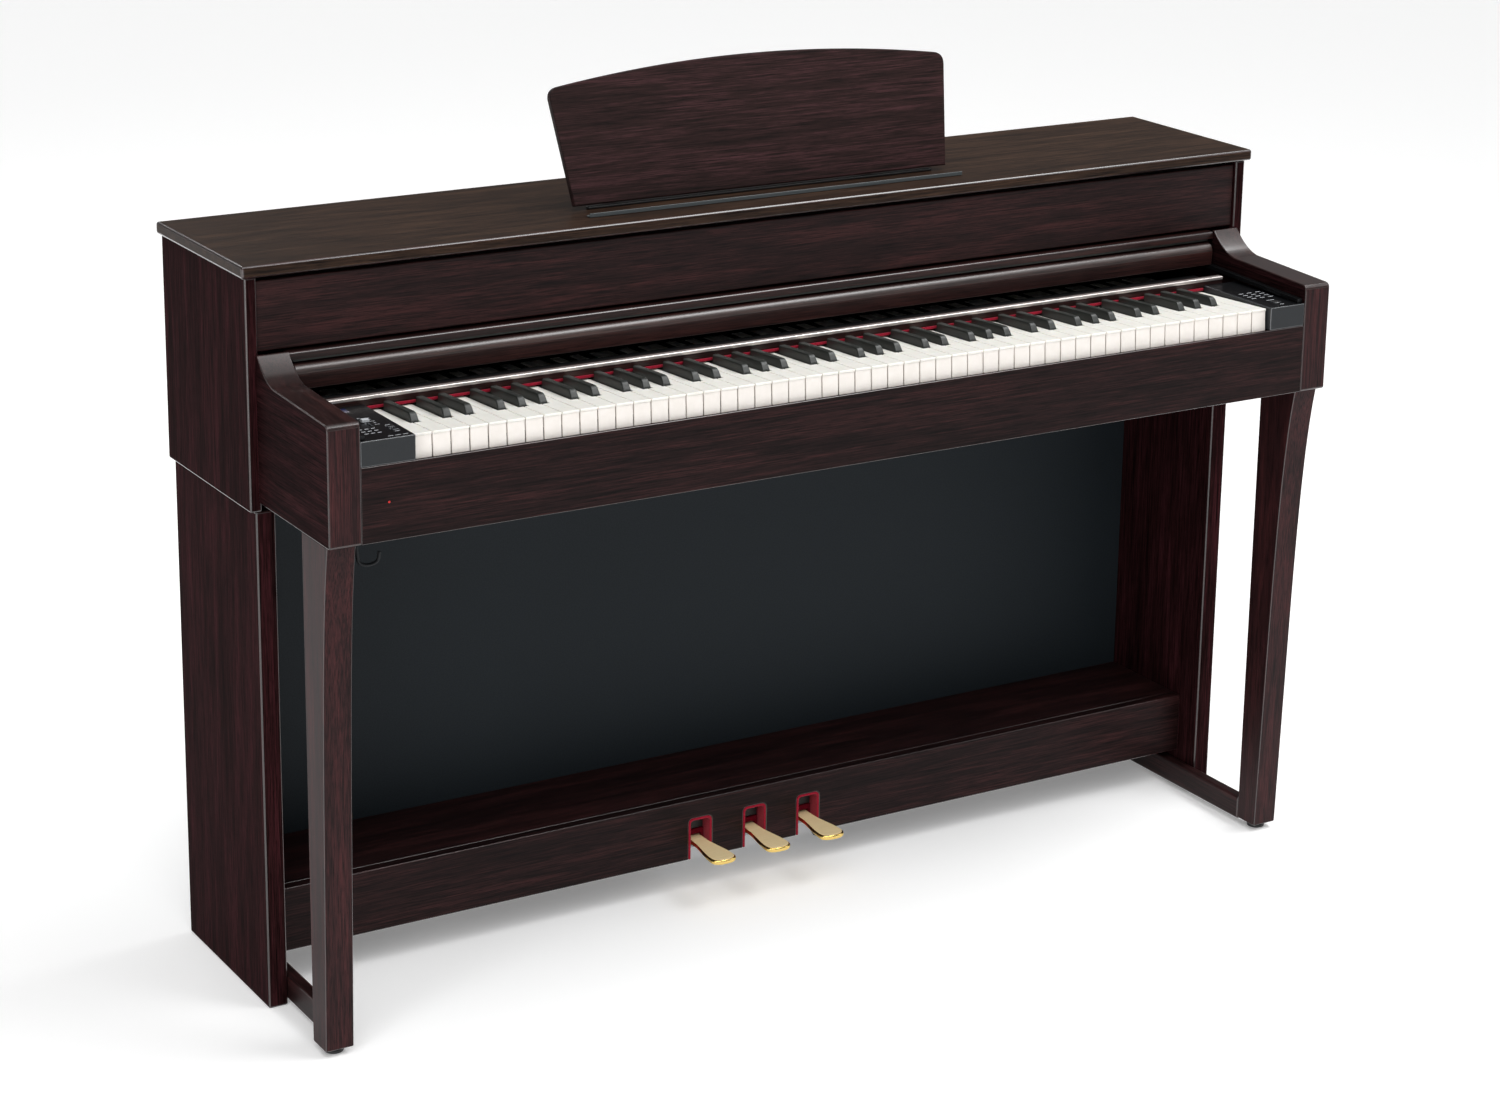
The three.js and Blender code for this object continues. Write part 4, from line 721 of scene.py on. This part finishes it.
def black_parts(i):
    """The raised part of the black key after white key i, 18 percent narrower at its top, and its stick."""
    x = black_centre(i)
    front, back = -REACH + HEAD + 1.5, -REACH + HEAD + 78.5
    low, high = TOP_RISE - 5.5, TOP_RISE + 10.5
    side = [(front, low), (front + 0.6, low + 6), (front + 7, high), (back, high - 0.4), (back, low)]
    points, faces = carried(fillet(side, [0.3, 2, 4.5, 1.2, 0.3], 5), "X", (x - 5.6, x + 5.6), 1.7, 4)
    up = np.clip((points[:, 2] - low) / (high - low), 0, 1)
    points[:, 0] = x + (points[:, 0] - x) * (1 - 0.18 * up)
    tail = fillet(rectangle(x - 4.5, x + 4.5, back - 40, 29), 0.5, 1)
    tail_part = carried(tail, "Z", (-4.5, TOP_RISE - 0.2), 0.3, 1)
    return [tilted(p, (balance_y, balance_z), KEY_TILT) for p in ((points, faces), tail_part)]


print("faces of middle C:", sum(len(faces) for _, faces in white_parts(MIDDLE_C)))

# %% Keyboard pieces
white_groups = {
    "white_keys_bass": range(MIDDLE_C),
    "key_c": [MIDDLE_C],
    "key_d": [MIDDLE_C + 1],
    "key_e": [MIDDLE_C + 2],
    "white_keys_treble": range(MIDDLE_C + 3, WHITES),
}
for name, members in white_groups.items():
    parts = [p for i in members for p in white_parts(i)]
    finishes = [white_key, key_front, key_front, key_front] * len(members)
    piece(f"{name}_shown", parts, finishes, name, [name])
black_groups = {
    "black_keys_bass": [i for i in range(MIDDLE_C) if black_after(i)],
    "key_c_sharp": [MIDDLE_C],
    "key_d_sharp": [MIDDLE_C + 1],
    "black_keys_treble": [i for i in range(MIDDLE_C + 3, WHITES) if black_after(i)],
}
for name, members in black_groups.items():
    parts = [p for i in members for p in black_parts(i)]
    piece(f"{name}_shown", parts, black_key, name, [name])
print("black keys:", sum(len(m) for m in black_groups.values()), "white keys:", WHITES)

# %% [markdown]
# ## Sliding key cover
# The cover is a thin board with a moulded rail along its front edge: a face 28 mm high with a rounded top and a
# fine lower lip. Both slope down by 2 degrees, the line along which they slide.

# %% Cover
COVER_SLOPE, COVER_FRONT, COVER_BOTTOM = 2.0, -40.0, 774.5
cover_pivot = (COVER_FRONT, COVER_BOTTOM)
cover_low, cover_high = box_mm("cover_board")
rail_round = bezier([(8.5, 28.5), (1.5, 28.0), (0, 17.5)], 14)
rail_outline = np.concatenate([[(0.6, 0.0), (14, 0.0), (14, 28.5)], rail_round])
rail_radii = np.where(np.arange(len(rail_outline)) < 3, 1.1, 0.3)
rail_part = moulding("cover_rail", fillet(rail_outline, rail_radii, 3), 1.2)
rail_part = tilted(rail_part, cover_pivot, COVER_SLOPE)
board_outline = fillet(rectangle(14.3, 190, 21.5, 28.5), 1.0)
board_part = tilted(moulding("cover_board", board_outline, 0.8), cover_pivot, COVER_SLOPE)
piece("cover_rail_moulding", [rail_part], name_wood, "cover", ["cover_rail"], rail_satin_and_highlight)
piece("cover_board_panel", [board_part], wood_x, "cover", ["cover_board"])
print("cover", np.round(cover_high - cover_low, 1))

# %% [markdown]
# ## Stand
# Two side panels, two tapering front legs on glides, foot bars, a rear board and the pedal box. A leg's front
# edge is straight at the foot and swells in a long curve to the arm above.

# %% Legs and panels
leg_low, leg_high = box_mm("leg_left")
foot_depth, top_depth = 37.0, 71.0
leg_back, leg_foot, leg_top = leg_high[1], leg_low[2], leg_high[2]
straight_z = leg_foot + (leg_top - leg_foot) / 3
foot_front, rise = leg_back - foot_depth, leg_top - straight_z
swell = [(foot_front - out, straight_z + rise * up) for out, up in ((6, 0), (11, 0.45), (16, 0.8))]
leg_curve = bezier([*swell, (leg_back - top_depth, leg_top)], 30)
leg_sole = [(leg_back, leg_foot), (foot_front, leg_foot)]
leg_outline = np.concatenate([leg_sole, leg_curve, [(leg_back, leg_top)]])
leg_radii = np.full(len(leg_outline), 3.0)
for side in SIDES:
    low, high = box_mm(f"leg_{side}")
    part = carried(fillet(leg_outline, leg_radii, 3), "X", (low[0], high[0]), 1.8, 4)
    # 0.93 leaves the curved front with the flat finish and buffs only the narrow edges
    piece(f"leg_post_{side}", [part], wood_z, "case", [f"leg_{side}"], edge_z, 0.93)
    case_board(f"lower_side_board_{side}", f"lower_side_{side}", 2.2, shade_lifted_side_wood, edge_z)
    case_board(f"foot_rail_{side}", f"foot_bar_{side}", 2.0, wood_y, edge_y)
    glide_low, glide_high = box_mm(f"leg_glide_{side}")
    middle = (glide_low + glide_high) / 2
    glide = [(0, 0), (10, 0), (11.6, 0.8), (12, 2.5), (11.2, 5), (9.5, 6.5), (9.5, 8), (0, 8)]
    part = turned(glide, (middle[0], middle[1], 0), "Z", 36)
    piece(f"glide_{side}", [part], black_plastic, "case", [f"leg_glide_{side}"])
print("leg", round(leg_top - leg_foot, 1), "mm high, depth", foot_depth, "to", top_depth)

# %% Pedal box
box_low, box_high = box_mm("pedal_box_front")
PEDALS = [-93.5, -11.0, 71.5]
notch_half, notch_top = 17.5, 108.0
corners, radii = [(box_low[0], box_low[2])], [2.0]
for x in PEDALS:
    a, b = x - notch_half, x + notch_half
    corners += [(a, box_low[2]), (a, notch_top), (b, notch_top), (b, box_low[2])]
    radii += [1.8, 7, 7, 1.8]
corners += [(box_high[0], box_low[2]), (box_high[0], box_high[2]), (box_low[0], box_high[2])]
radii += [2.0, 2.0, 2.0]
front_part = carried(fillet(corners, radii, 6), "Y", (box_low[1], box_high[1]), 1.2)
piece("pedal_box_face", [front_part], shade_darkened_wood, "case", ["pedal_box_front"], edge_x)
case_board("pedal_box_shelf", "pedal_box_top", 1.2, wood_x, edge_x)
print("pedal notches", 2 * notch_half, "mm wide at", PEDALS)

# %% [markdown]
# Each notch is lined with a folded strip of red felt, so that a pedal never knocks on wood. The strip is one
# outline, a U turned upside down, carried through the thickness of the board. Behind it hangs a curtain of felt
# with a slot for the pedal's neck, coloured darker than the lining as painted shade, and over the curtain a
# black plate fills the top of the notch, painted shade for the dark inside of the pedal box.

# %% Felt linings
felt_low_z, fold, wall = box_low[2] + 0.5, 0.2, 3.0
opening = notch_half - fold - wall - 0.1  # half width of what hangs behind the lining
linings, curtains, stops = [], [], []
for x in PEDALS:
    a, d, top = x - notch_half + fold, x + notch_half - fold, notch_top - fold
    b, c = a + wall, d - wall
    lining = [(a, felt_low_z), (a, top), (d, top), (d, felt_low_z)]
    lining += [(c, felt_low_z), (c, top - wall), (b, top - wall), (b, felt_low_z)]
    lining = fillet(lining, [0.8, 7, 7, 0.8, 0.8, 5, 5, 0.8], 6)
    linings.append(carried(lining, "Y", (box_low[1] - 0.4, box_high[1] + 14), 0.7))
    a, b, c, d = x - opening, x - 10.5, x + 10.5, x + opening
    curtain = fillet([(a, 55), (b, 55), (b, 78), (c, 78), (c, 55), (d, 55), (d, 85), (a, 85)], 1.0, 3)
    curtains.append(carried(curtain, "Y", (box_high[1] + 1, box_high[1] + 5), 0.8))
    # the black plate over the curtain is painted shade: it darkens the top of the notch as the inside of the box
    # would
    stop = fillet(rectangle(a, d, 85.6, notch_top - 3.4), 1.0, 3)
    stops.append(carried(stop, "Y", (box_high[1] + 3, box_high[1] + 6), 0.8))
felts = [felt] * 3 + [felt_shade] * 3 + [black_plastic] * 3
piece("notch_felt", linings + curtains + stops, felts, "case")
print("felt parts:", len(felts))

# %% [markdown]
# ## Pedals
# A pedal is a cast brass lever: a flat satin top, polished rounded edges and a pivot in brass painted dark, as
# painted shade. Its outline widens from a neck to a broad, blunt tip, and is carried upwards with a round rim.
# The satin top is a second, thin layer of the same outline, a little narrower, so that the polished rim shows
# all round it.


# %% Pedals
def pedal_parts(x):
    """Lever, top and pivot of the pedal at x. The tip is half of a curve between ellipse and rectangle:
    half_tip * |cos a| ^ 0.8 across and blunt * |sin a| ^ 0.8 along."""
    tip_y, half_tip, blunt, half_neck, neck_y, tail_y = -59.0, 18.0, 13.0, 10.5, 5.0, 124.0
    a = np.linspace(np.pi, 2 * np.pi, 29)
    across = half_tip * np.sign(np.cos(a)) * np.abs(np.cos(a)) ** 0.8
    along = blunt * np.sign(np.sin(a)) * np.abs(np.sin(a)) ** 0.8
    start = tip_y + blunt
    arc = np.stack([x + across, start + along], 1)
    neck = [(x - half_neck, neck_y), (x - half_neck - 1.5, neck_y - 16)]
    left = bezier([*neck, (x - half_tip, start + 15), (x - half_tip, start)], 16)
    right = (left * [-1, 1] + [2 * x, 0])[::-1]
    outline = np.concatenate([[(x + half_neck, tail_y), (x - half_neck, tail_y)], left[:-1], arc, right[1:]])
    apart = np.linalg.norm(np.diff(outline, axis=0), axis=1) > 0.01
    outline = outline[np.concatenate([[True], apart])]
    lever = carried(outline, "Z", (68.0, 74.6), 2.4, 5)
    points, faces = carried(outline, "Z", (74.0, 75.0), 0.9, 3)
    points[:, 0] = x + (points[:, 0] - x) * 0.9
    points[:, 1] = np.where(points[:, 1] < 0, points[:, 1] + 1.6, points[:, 1])
    a, b = x - half_neck, x + half_neck
    pivot = [(0, a), (7.6, a), (8.5, a + 0.8), (8.5, b - 0.8), (7.6, b), (0, b)]
    return [lever, (points, faces), turned(pivot, (0, 100, 71.5), "X", 32)]


for name, x in zip(("left", "middle", "right"), PEDALS):
    finishes = [brass_edge, brass_top, brass_painted_shade]
    piece(f"pedal_lever_{name}", pedal_parts(x), finishes, f"pedal_{name}", [f"pedal_{name}"])
print("pedals:", len(PEDALS))

# %% [markdown]
# ## Height adjuster
# A screw foot under the pedal box takes the weight of a player's shoes. Its knob is turned with flutes for
# the fingers: its radius is 11.3 (1 + 0.055 cos 12 a) round the axis.

# %% Adjuster
adjuster_low, adjuster_high = box_mm("height_adjuster")
adjuster_mid = (adjuster_low + adjuster_high) / 2
rim = [(9.6, 0), (10.9, 0.9), (11.3, 2.2), (11.3, 9.6), (10.2, 11.4), (8, 12)]
points, faces = turned([(0, 0), *rim, (0, 12)], (0, 0, 0), "Z", 96)
angle, radius = np.arctan2(points[:, 1], points[:, 0]), np.hypot(points[:, 0], points[:, 1])
points[:, :2] *= (1 + 0.055 * np.cos(12 * angle) * (radius > 10.5))[:, None]
knob = (points + [adjuster_mid[0], adjuster_mid[1], adjuster_low[2]], faces)
turns = np.arange(adjuster_low[2] + 12.0, adjuster_high[2] - 1, 1.0)
ridges = [(3.4 + 0.55 * (k % 2), z) for k, z in enumerate(turns)]
thread = [(0, adjuster_low[2] + 11.5), *ridges, (0, adjuster_high[2])]
screw = turned(thread, (adjuster_mid[0], adjuster_mid[1], 0), "Z", 24)
piece("adjuster_foot", [knob, screw], [black_plastic, steel], "height_adjuster", ["height_adjuster"])
print("adjuster", np.round(adjuster_high - adjuster_low, 1))

# %% [markdown]
# ## Music rest
# The rest is an arched board that leans back by 15 degrees on a hinge strip, held by two stays. Its outline is
# drawn flat in (x, z): straight sides that open a little upwards, round shoulders and a shallow arch.

# %% Music rest
REST_X, REST_Y, REST_Z, REST_TILT = 12.0, 51.0, 931.5, -15.0
half_bottom, half_top, rest_rise, rest_thick = 273.0, 289.0, 22.0, 9.0
lean = math.radians(-REST_TILT)
overall_height = cad_bounds[1][2] / MM
rest_height = (overall_height - REST_Z - rest_thick * math.sin(lean)) / math.cos(lean)
shoulder, corner = rest_height - rest_rise, 14.0
arch_start, arch_end = (half_top - corner, shoulder + 2), (-half_top + corner, shoulder + 2)
right_corner = bezier([(half_top, shoulder - corner), (half_top + 1, shoulder), arch_start], 10)
arch = bezier([arch_start, (0, 2 * rest_height - shoulder - 2), arch_end], 48)
left_corner = (right_corner * [-1, 1])[::-1]
rest_outline = np.concatenate([[(-half_bottom, 0), (half_bottom, 0)], right_corner, arch[1:-1], left_corner])
rest_part = carried(fillet(rest_outline, 0.9, 2), "Y", (-rest_thick, 0), 1.8, 4)
print("rest board", 2 * half_top, "mm wide,", round(rest_height, 1), "mm high")

# %% Lugs of the stays, then the rest as one piece
lugs = []
for stay in (-190.0, 190.0):
    for sign in (-1, 1):
        x0, x1 = sorted((stay + sign * 8.6, stay + sign * 11))
        lugs.append(carried(fillet(rectangle(-0.5, 3.6, 74, 82), 1.2, 4), "X", (x0, x1), 0.4))
rest_parts = []
for points, faces in [rest_part] + lugs:
    points, faces = tilted((points, faces), (REST_Y, REST_Z), REST_TILT)
    rest_parts.append((points + [REST_X, 0, 0], faces))
finishes = [rest_wood] + [dark_steel] * len(lugs)
piece("music_rest_board", rest_parts, finishes, "music_rest", ["music_rest"])
print("lugs:", len(lugs))

# %% Ledge and hinge strip
ledge_low, ledge_high = box_mm("music_ledge")
front, back = ledge_low[1], ledge_high[1]
base, crest, wall = ledge_low[2], ledge_high[2], 1.6
ledge = [(front, base), (back, base), (back, base + wall), (front + wall, base + wall), (front + wall, crest)]
ledge_part = moulding("music_ledge", fillet([*ledge, (front, crest)], 0.6, 3), 0.8)
piece("music_ledge_strip", [ledge_part], ledge_grey, "case", ["music_ledge"])
piece("rest_hinge_strip", [board("rest_hinge", 1.0)], black_plastic, "case", ["rest_hinge"])
print("ledge", np.round(ledge_high - ledge_low, 1))

# %% [markdown]
# ## Control blocks
# Each block is one moulding of anthracite ABS with a black top. The CAD solid already has its pockets, so a copy
# of it is merged and bevelled: a bevel of 1 mm catches the fine light line that a real moulding shows, and the
# bevelled edges are also painted a lighter grey than the body, a painted highlight. The printed marks are only
# short bars, and each stands 0.15 mm proud, drawn thicker than ink so that it shows.


# %% Control blocks
def printed(bars, z):
    """Thin rounded bars on a flat top: each is (x, y, length, width) about its own middle."""
    outlines = [fillet(rectangle(x - a / 2, x + a / 2, y - b / 2, y + b / 2), 0.4, 2) for x, y, a, b in bars]
    return [carried(outline, "Z", (z, z + 0.15), 0.06, 1) for outline in outlines]


block_low, block_high = box_mm("control_block_left")
slider_low, slider_high = box_mm("volume_slider")
button_low, button_high = box_mm("panel_button_1")
next_low, next_high = box_mm("panel_button_2")
softened("control_block_left", abs_plastic, 0.9, "case", abs_edge_painted_highlight, control_top)
softened("control_block_right", abs_plastic, 0.9, "case", abs_edge_painted_highlight, control_top)
slider_x, slider_y = (slider_low[:2] + slider_high[:2]) / 2
button_x = (button_low[0] + button_high[0]) / 2
top = block_high[2]
ticks = [(slider_x + 9, slider_y + k * 7, 4 if k % 2 else 6, 0.8) for k in range(-2, 3)]
between = (button_high[1] + next_low[1]) / 2
labels = [(button_x, y, 6, 1.0) for y in (button_low[1] - 4, between, next_high[1] + 4)]
rows = [(slider_x - 18 + 8 * a, button_low[1] + 9 * b, 5, 1.6) for a in range(3) for b in range(3)]
heading = [(slider_x + 3 + 9 * k, block_low[1] + 8, 7, 1.1) for k in range(3)]
marks = printed(ticks + labels + rows + heading, top)
piece("left_control_marks", marks, print_white, "case")
window = fillet(rectangle(block_low[0] + 6, block_low[0] + 40, block_high[1] - 24, block_high[1] - 8), 1.5)
piece("display_window", [carried(window, "Z", (top, top + 0.3), 0.2, 2)], display_glass, "case")
print("slider at", round(slider_x, 1), round(slider_y, 1))

# %% Marks of the right block
right_top = box_mm("control_block_right")[1][2]
power_low, power_high = box_mm("power_button")
middle_x = (power_low[0] + power_high[0]) / 2
bars = [(middle_x, power_high[1] + 6, 12, 1.2), (middle_x, power_low[1] - 6, 7, 1.0)]
bars += [(middle_x - 14 + 14 * a, power_high[1] + 22 + 9 * b, 8, 1.4) for a in range(3) for b in range(4)]
piece("right_control_marks", printed(bars, right_top), print_white, "case")
for name, radius in (("panel_button_1", 0.6), ("panel_button_2", 0.6), ("power_button", 0.5)):
    softened(name, black_plastic, radius, name, abs_edge_painted_highlight)
softened("volume_slider", cap_grey, 0.5, "volume_slider")
print("marks:", len(marks) + len(bars))

# %% [markdown]
# ## Back and underside
# The back boards are held by pan-head screws, and the jack panel carries its sockets on its rear face. Nobody
# sees them from the front, but a part that is looked at from all sides needs them. A screw head is a turned
# profile with a cross of two short bars; a socket is a turned cup whose wall is 0.3 mm thick.


# %% Screws
def screw_head(x, y, z):
    """A pan head 8 mm across and 1.7 mm high, with its cross."""
    head = turned([(0, -0.5), (3.8, -0.5), (4.0, 0.3), (3.4, 1.1), (2.0, 1.55), (0, 1.7)], (x, y, z), "Y", 20)
    cross = [rectangle(x - a, x + a, z - b, z + b) for a, b in ((1.9, 0.35), (0.35, 1.9))]
    return [head] + [carried(np.array(bar), "Y", (y + 1.3, y + 1.78), 0.05, 1) for bar in cross]


back_low, back_high = box_mm("upper_back_board")
rear_low, rear_high = box_mm("lower_rear_board")
upper_rows, lower_rows = (back_low[2] + 12, back_high[2] - 12), (rear_low[2] + 14, rear_high[2] - 14)
places = [(x, back_high[1], z) for x in np.linspace(-696, 696, 7) for z in upper_rows]
places += [(x, rear_high[1], z) for x in np.linspace(-680, 680, 6) for z in lower_rows]
places += [(x, rear_high[1], (rear_low[2] + rear_high[2]) / 2) for x in (-680, 680)]
heads = [part for place in places for part in screw_head(*place)]
piece("back_board_screws", heads, [steel, dark_steel, dark_steel] * len(places), "case")
print("screws:", len(places))


# %% Jack panel and headphone box
softened("rear_jack_panel", black_plastic, 1.2, "case", abs_edge_painted_highlight)
softened("headphone_box", black_plastic, 1.2, "case", abs_edge_painted_highlight)
softened("headphone_hook", dark_steel, 0.4, "case")
panel_low, panel_high = box_mm("rear_jack_panel")
socket_y, socket_z = panel_high[1], (panel_low[2] + panel_high[2]) / 2
BIG, SMALL, DIN = (6.8, 8.6), (3.2, 5.6), (5.0, 6.4)
row = [(-545, BIG, black_plastic), (-520, BIG, black_plastic), (-495, SMALL, steel), (-475, SMALL, steel)]
sockets, finishes = [], []
for x, (radius, rim), finish in [*row, (-450, DIN, trim_grey)]:
    place = (x, socket_y, socket_z)
    core = [(0, 0), (radius - 0.05, 0), (radius - 0.05, 0.12), (0, 0.12)]
    collar = [(0, 0), (rim, 0), (rim, 0.8), (radius, 0.8), (radius, 0.2), (0, 0.2)]
    sockets += [turned(core, place, "Y", 28), turned(collar, place, "Y", 28)]
    finishes += [rubber, finish]
piece("rear_sockets", sockets, finishes, "case")
pins = []
for x in (-580, -570):
    pin = fillet(rectangle(x - 1, x + 1, socket_z - 3.5, socket_z + 3.5), 0.4, 2)
    pins.append(carried(pin, "Y", (socket_y - 13, socket_y - 3), 0.4, 2))
piece("mains_inlet_pins", pins, steel, "case")
print("rear sockets:", len(sockets) // 2)


# %% Headphone sockets
def cup(x, y, z, radius, rim, depth):
    """A socket with its mouth towards the player: outer wall, rim and inner wall in one closed profile."""
    profile = [(0, depth), (radius + 0.3, depth), (radius + 0.3, 0), (rim, 0), (rim, -0.7)]
    profile += [(radius, -0.7), (radius, depth - 0.6), (0, depth - 0.6)]
    return turned(profile, (x, y, z), "Y", 28)


phone_low, phone_high = box_mm("headphone_box")
phones = [cup(x, phone_low[1], phone_high[2] - 16, 3.0, 5.4, 12) for x in (-650, -620)]
piece("headphone_sockets", phones, steel, "case")
print("headphone sockets:", len(phones))

# %% Speaker cloth
cloths, under = [], box_mm("keybed")[0][2]
disc = [(0, under + 0.8), (60, under + 1.4), (61.4, under + 2.2), (61.4, under + 4), (0, under + 4)]
for side in SIDES:
    low, high = box_mm(f"speaker_{side}")
    x, y = (low[:2] + high[:2]) / 2
    cloths.append(turned(disc, (x, y, 0), "Z", 64))
piece("speaker_cloth", cloths, cloth, "case")
print("cloth discs:", len(cloths))

# %% [markdown]
# ## CAD pieces that keep their own shape
# Where a CAD solid already has its true shape, such as the keybed or the bracket, it stays and only gets its
# finish.

# %% Finishes of the kept CAD nodes
kept = {
    faced_board: ["keybed", "upper_back_board", "lower_rear_board"],
    black_plastic: ["speaker_left", "speaker_right"],
    dark_steel: ["rest_stay_left", "rest_stay_right", "cover_guide_left", "cover_guide_right"],
    steel: ["pedal_bracket", "key_frame", "power_unit"],
    circuit: ["main_board"],
}
for material, names in kept.items():
    for name in names:
        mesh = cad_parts[name].data
        mesh.materials.clear()
        mesh.materials.append(material)
print("kept nodes:", sum(len(v) for v in kept.values()))

# %% [markdown]
# ## Floor, light and camera
# A pale floor runs out to a round pale backdrop, so that the background stays light from every side. Only the
# camera sees the backdrop: it would otherwise be mirrored in the lacquer.


# %% Floor and backdrop
def studio(name, points, faces, grey, glow):
    """A matt pale surface of the studio, lit a little from within. It isn't part of the piano."""
    mesh = bpy.data.meshes.new(name)
    mesh.from_pydata(points, [], faces)
    material, _, shader = new_material(f"{name}_paper", Roughness=0.9)
    shader.inputs["Base Color"].default_value = (grey, grey, grey, 1)
    shader.inputs["Emission Color"].default_value = (1, 1, 1, 1)
    shader.inputs["Emission Strength"].default_value = glow
    mesh.materials.append(material)
    made = bpy.data.objects.new(name, mesh)
    scene.collection.objects.link(made)
    return made


HALF_FLOOR, FLOOR_Z, WALL_RADIUS, WALL_TOP, SIDES_ROUND = 30, -0.0005, 29, 16, 96
floor_corners = rectangle(-HALF_FLOOR, HALF_FLOOR, -HALF_FLOOR, HALF_FLOOR)
studio("studio_floor", [(x, y, FLOOR_Z) for x, y in floor_corners], [(0, 1, 2, 3)], 0.93, 0.2)
around = np.arange(SIDES_ROUND) / SIDES_ROUND * 2 * np.pi
ring = WALL_RADIUS * np.stack([np.cos(around), np.sin(around)], 1)
wall_points = np.concatenate([np.c_[ring, np.full(SIDES_ROUND, z)] for z in (FLOOR_Z, WALL_TOP)])
k = np.arange(SIDES_ROUND)
ahead = (k + 1) % SIDES_ROUND
wall_faces = np.stack([ahead, k, k + SIDES_ROUND, ahead + SIDES_ROUND], 1)
wall = studio("studio_backdrop", wall_points.tolist(), wall_faces.tolist(), 0.9, 0.6)
wall.visible_shadow = wall.visible_glossy = wall.visible_diffuse = False
print("floor", 2 * HALF_FLOOR, "m square, backdrop at", WALL_RADIUS, "m")

# %% [markdown]
# Three wide suns stand for a soft sky, brightest from the front left. They hardly show in the lacquer, so three
# soft boxes are there for the highlights: a long one overhead for the edges that run across the case, a tall
# one on the left for the upright edges, and one behind for the back edges.


# %% Two kinds of light
def soft_box(name, place, target, size, power):
    """An even rectangle of light. size is its width and height in metres, power is in watts."""
    light = bpy.data.lights.new(name, "AREA")
    light.shape = "RECTANGLE"
    light.size, light.size_y = size
    light.energy = power
    made = bpy.data.objects.new(name, light)
    made.location = place
    made.rotation_euler = (Vector(target) - Vector(place)).to_track_quat("-Z", "Y").to_euler()
    made.visible_camera = False
    scene.collection.objects.link(made)


def soft_sun(name, azimuth, elevation, width, power):
    """Even light from one side. width is how many degrees of sky it fills, which softens its shadow."""
    light = bpy.data.lights.new(name, "SUN")
    light.angle = math.radians(width)
    light.energy = power
    made = bpy.data.objects.new(name, light)
    a, e = math.radians(azimuth), math.radians(elevation)
    toward = Vector((math.sin(a) * math.cos(e), -math.cos(a) * math.cos(e), math.sin(e)))
    made.rotation_euler = toward.to_track_quat("Z", "Y").to_euler()
    scene.collection.objects.link(made)


print("lights can be boxes or suns")

# %% Lights
soft_sun("front_left_sky", -32, 46, 50, 1.25)
soft_sun("overhead_sky", 20, 78, 70, 0.9)
soft_sun("right_sky", 62, 30, 30, 0.35)
soft_box("long_strip_overhead", (1.6, -0.7, 3.5), (0, 0, 0.85), (3.6, 1.1), 84)
soft_box("tall_strip_left", (-2.9, -1.5, 0.75), (-0.3, 0, 0.6), (0.7, 1.4), 12)
soft_box("strip_behind", (-0.9, 3.3, 3.0), (0, 0, 0.9), (2.6, 0.5), 24)
world = bpy.data.worlds.new("studio_sky")
scene.world = world
world.use_nodes = True
sky = world.node_tree.nodes["Background"]
sky.inputs["Color"].default_value = (1, 1, 1, 1)
sky.inputs["Strength"].default_value = 0.16
scene.view_settings.view_transform = "Standard"
print("lights:", len(bpy.data.lights))

# %% [markdown]
# The camera looks down a little from the front left with a long lens. Its turn is given as yaw, pitch and roll,
# and its axes are worked out from them: where it looks, its right and its up.

# %% Camera
CAMERA_PLACE = (-2.1383, -3.5022, 1.8244)
yaw, pitch, roll = (math.radians(a) for a in (31.068, -15.388, 0.794))
camera_data = bpy.data.cameras.new("studio_camera")
camera_data.lens = 80.45
camera_data.sensor_width = 36.0
camera_data.shift_x, camera_data.shift_y = -0.0025, -0.12
camera_data.clip_end = 100
camera = bpy.data.objects.new("studio_camera", camera_data)
forward = np.array([math.sin(yaw) * math.cos(pitch), math.cos(yaw) * math.cos(pitch), math.sin(pitch)])
level = np.array([math.cos(yaw), -math.sin(yaw), 0.0])
upward = np.cross(level, forward)
right = math.cos(roll) * level + math.sin(roll) * upward
up = -math.sin(roll) * level + math.cos(roll) * upward
axes = np.stack([right, up, -forward], 1)
camera.matrix_world = Matrix([[*row, place] for row, place in zip(axes, CAMERA_PLACE)] + [[0, 0, 0, 1]])
scene.collection.objects.link(camera)
scene.camera = camera
print("camera", camera_data.lens, "mm lens at", CAMERA_PLACE)
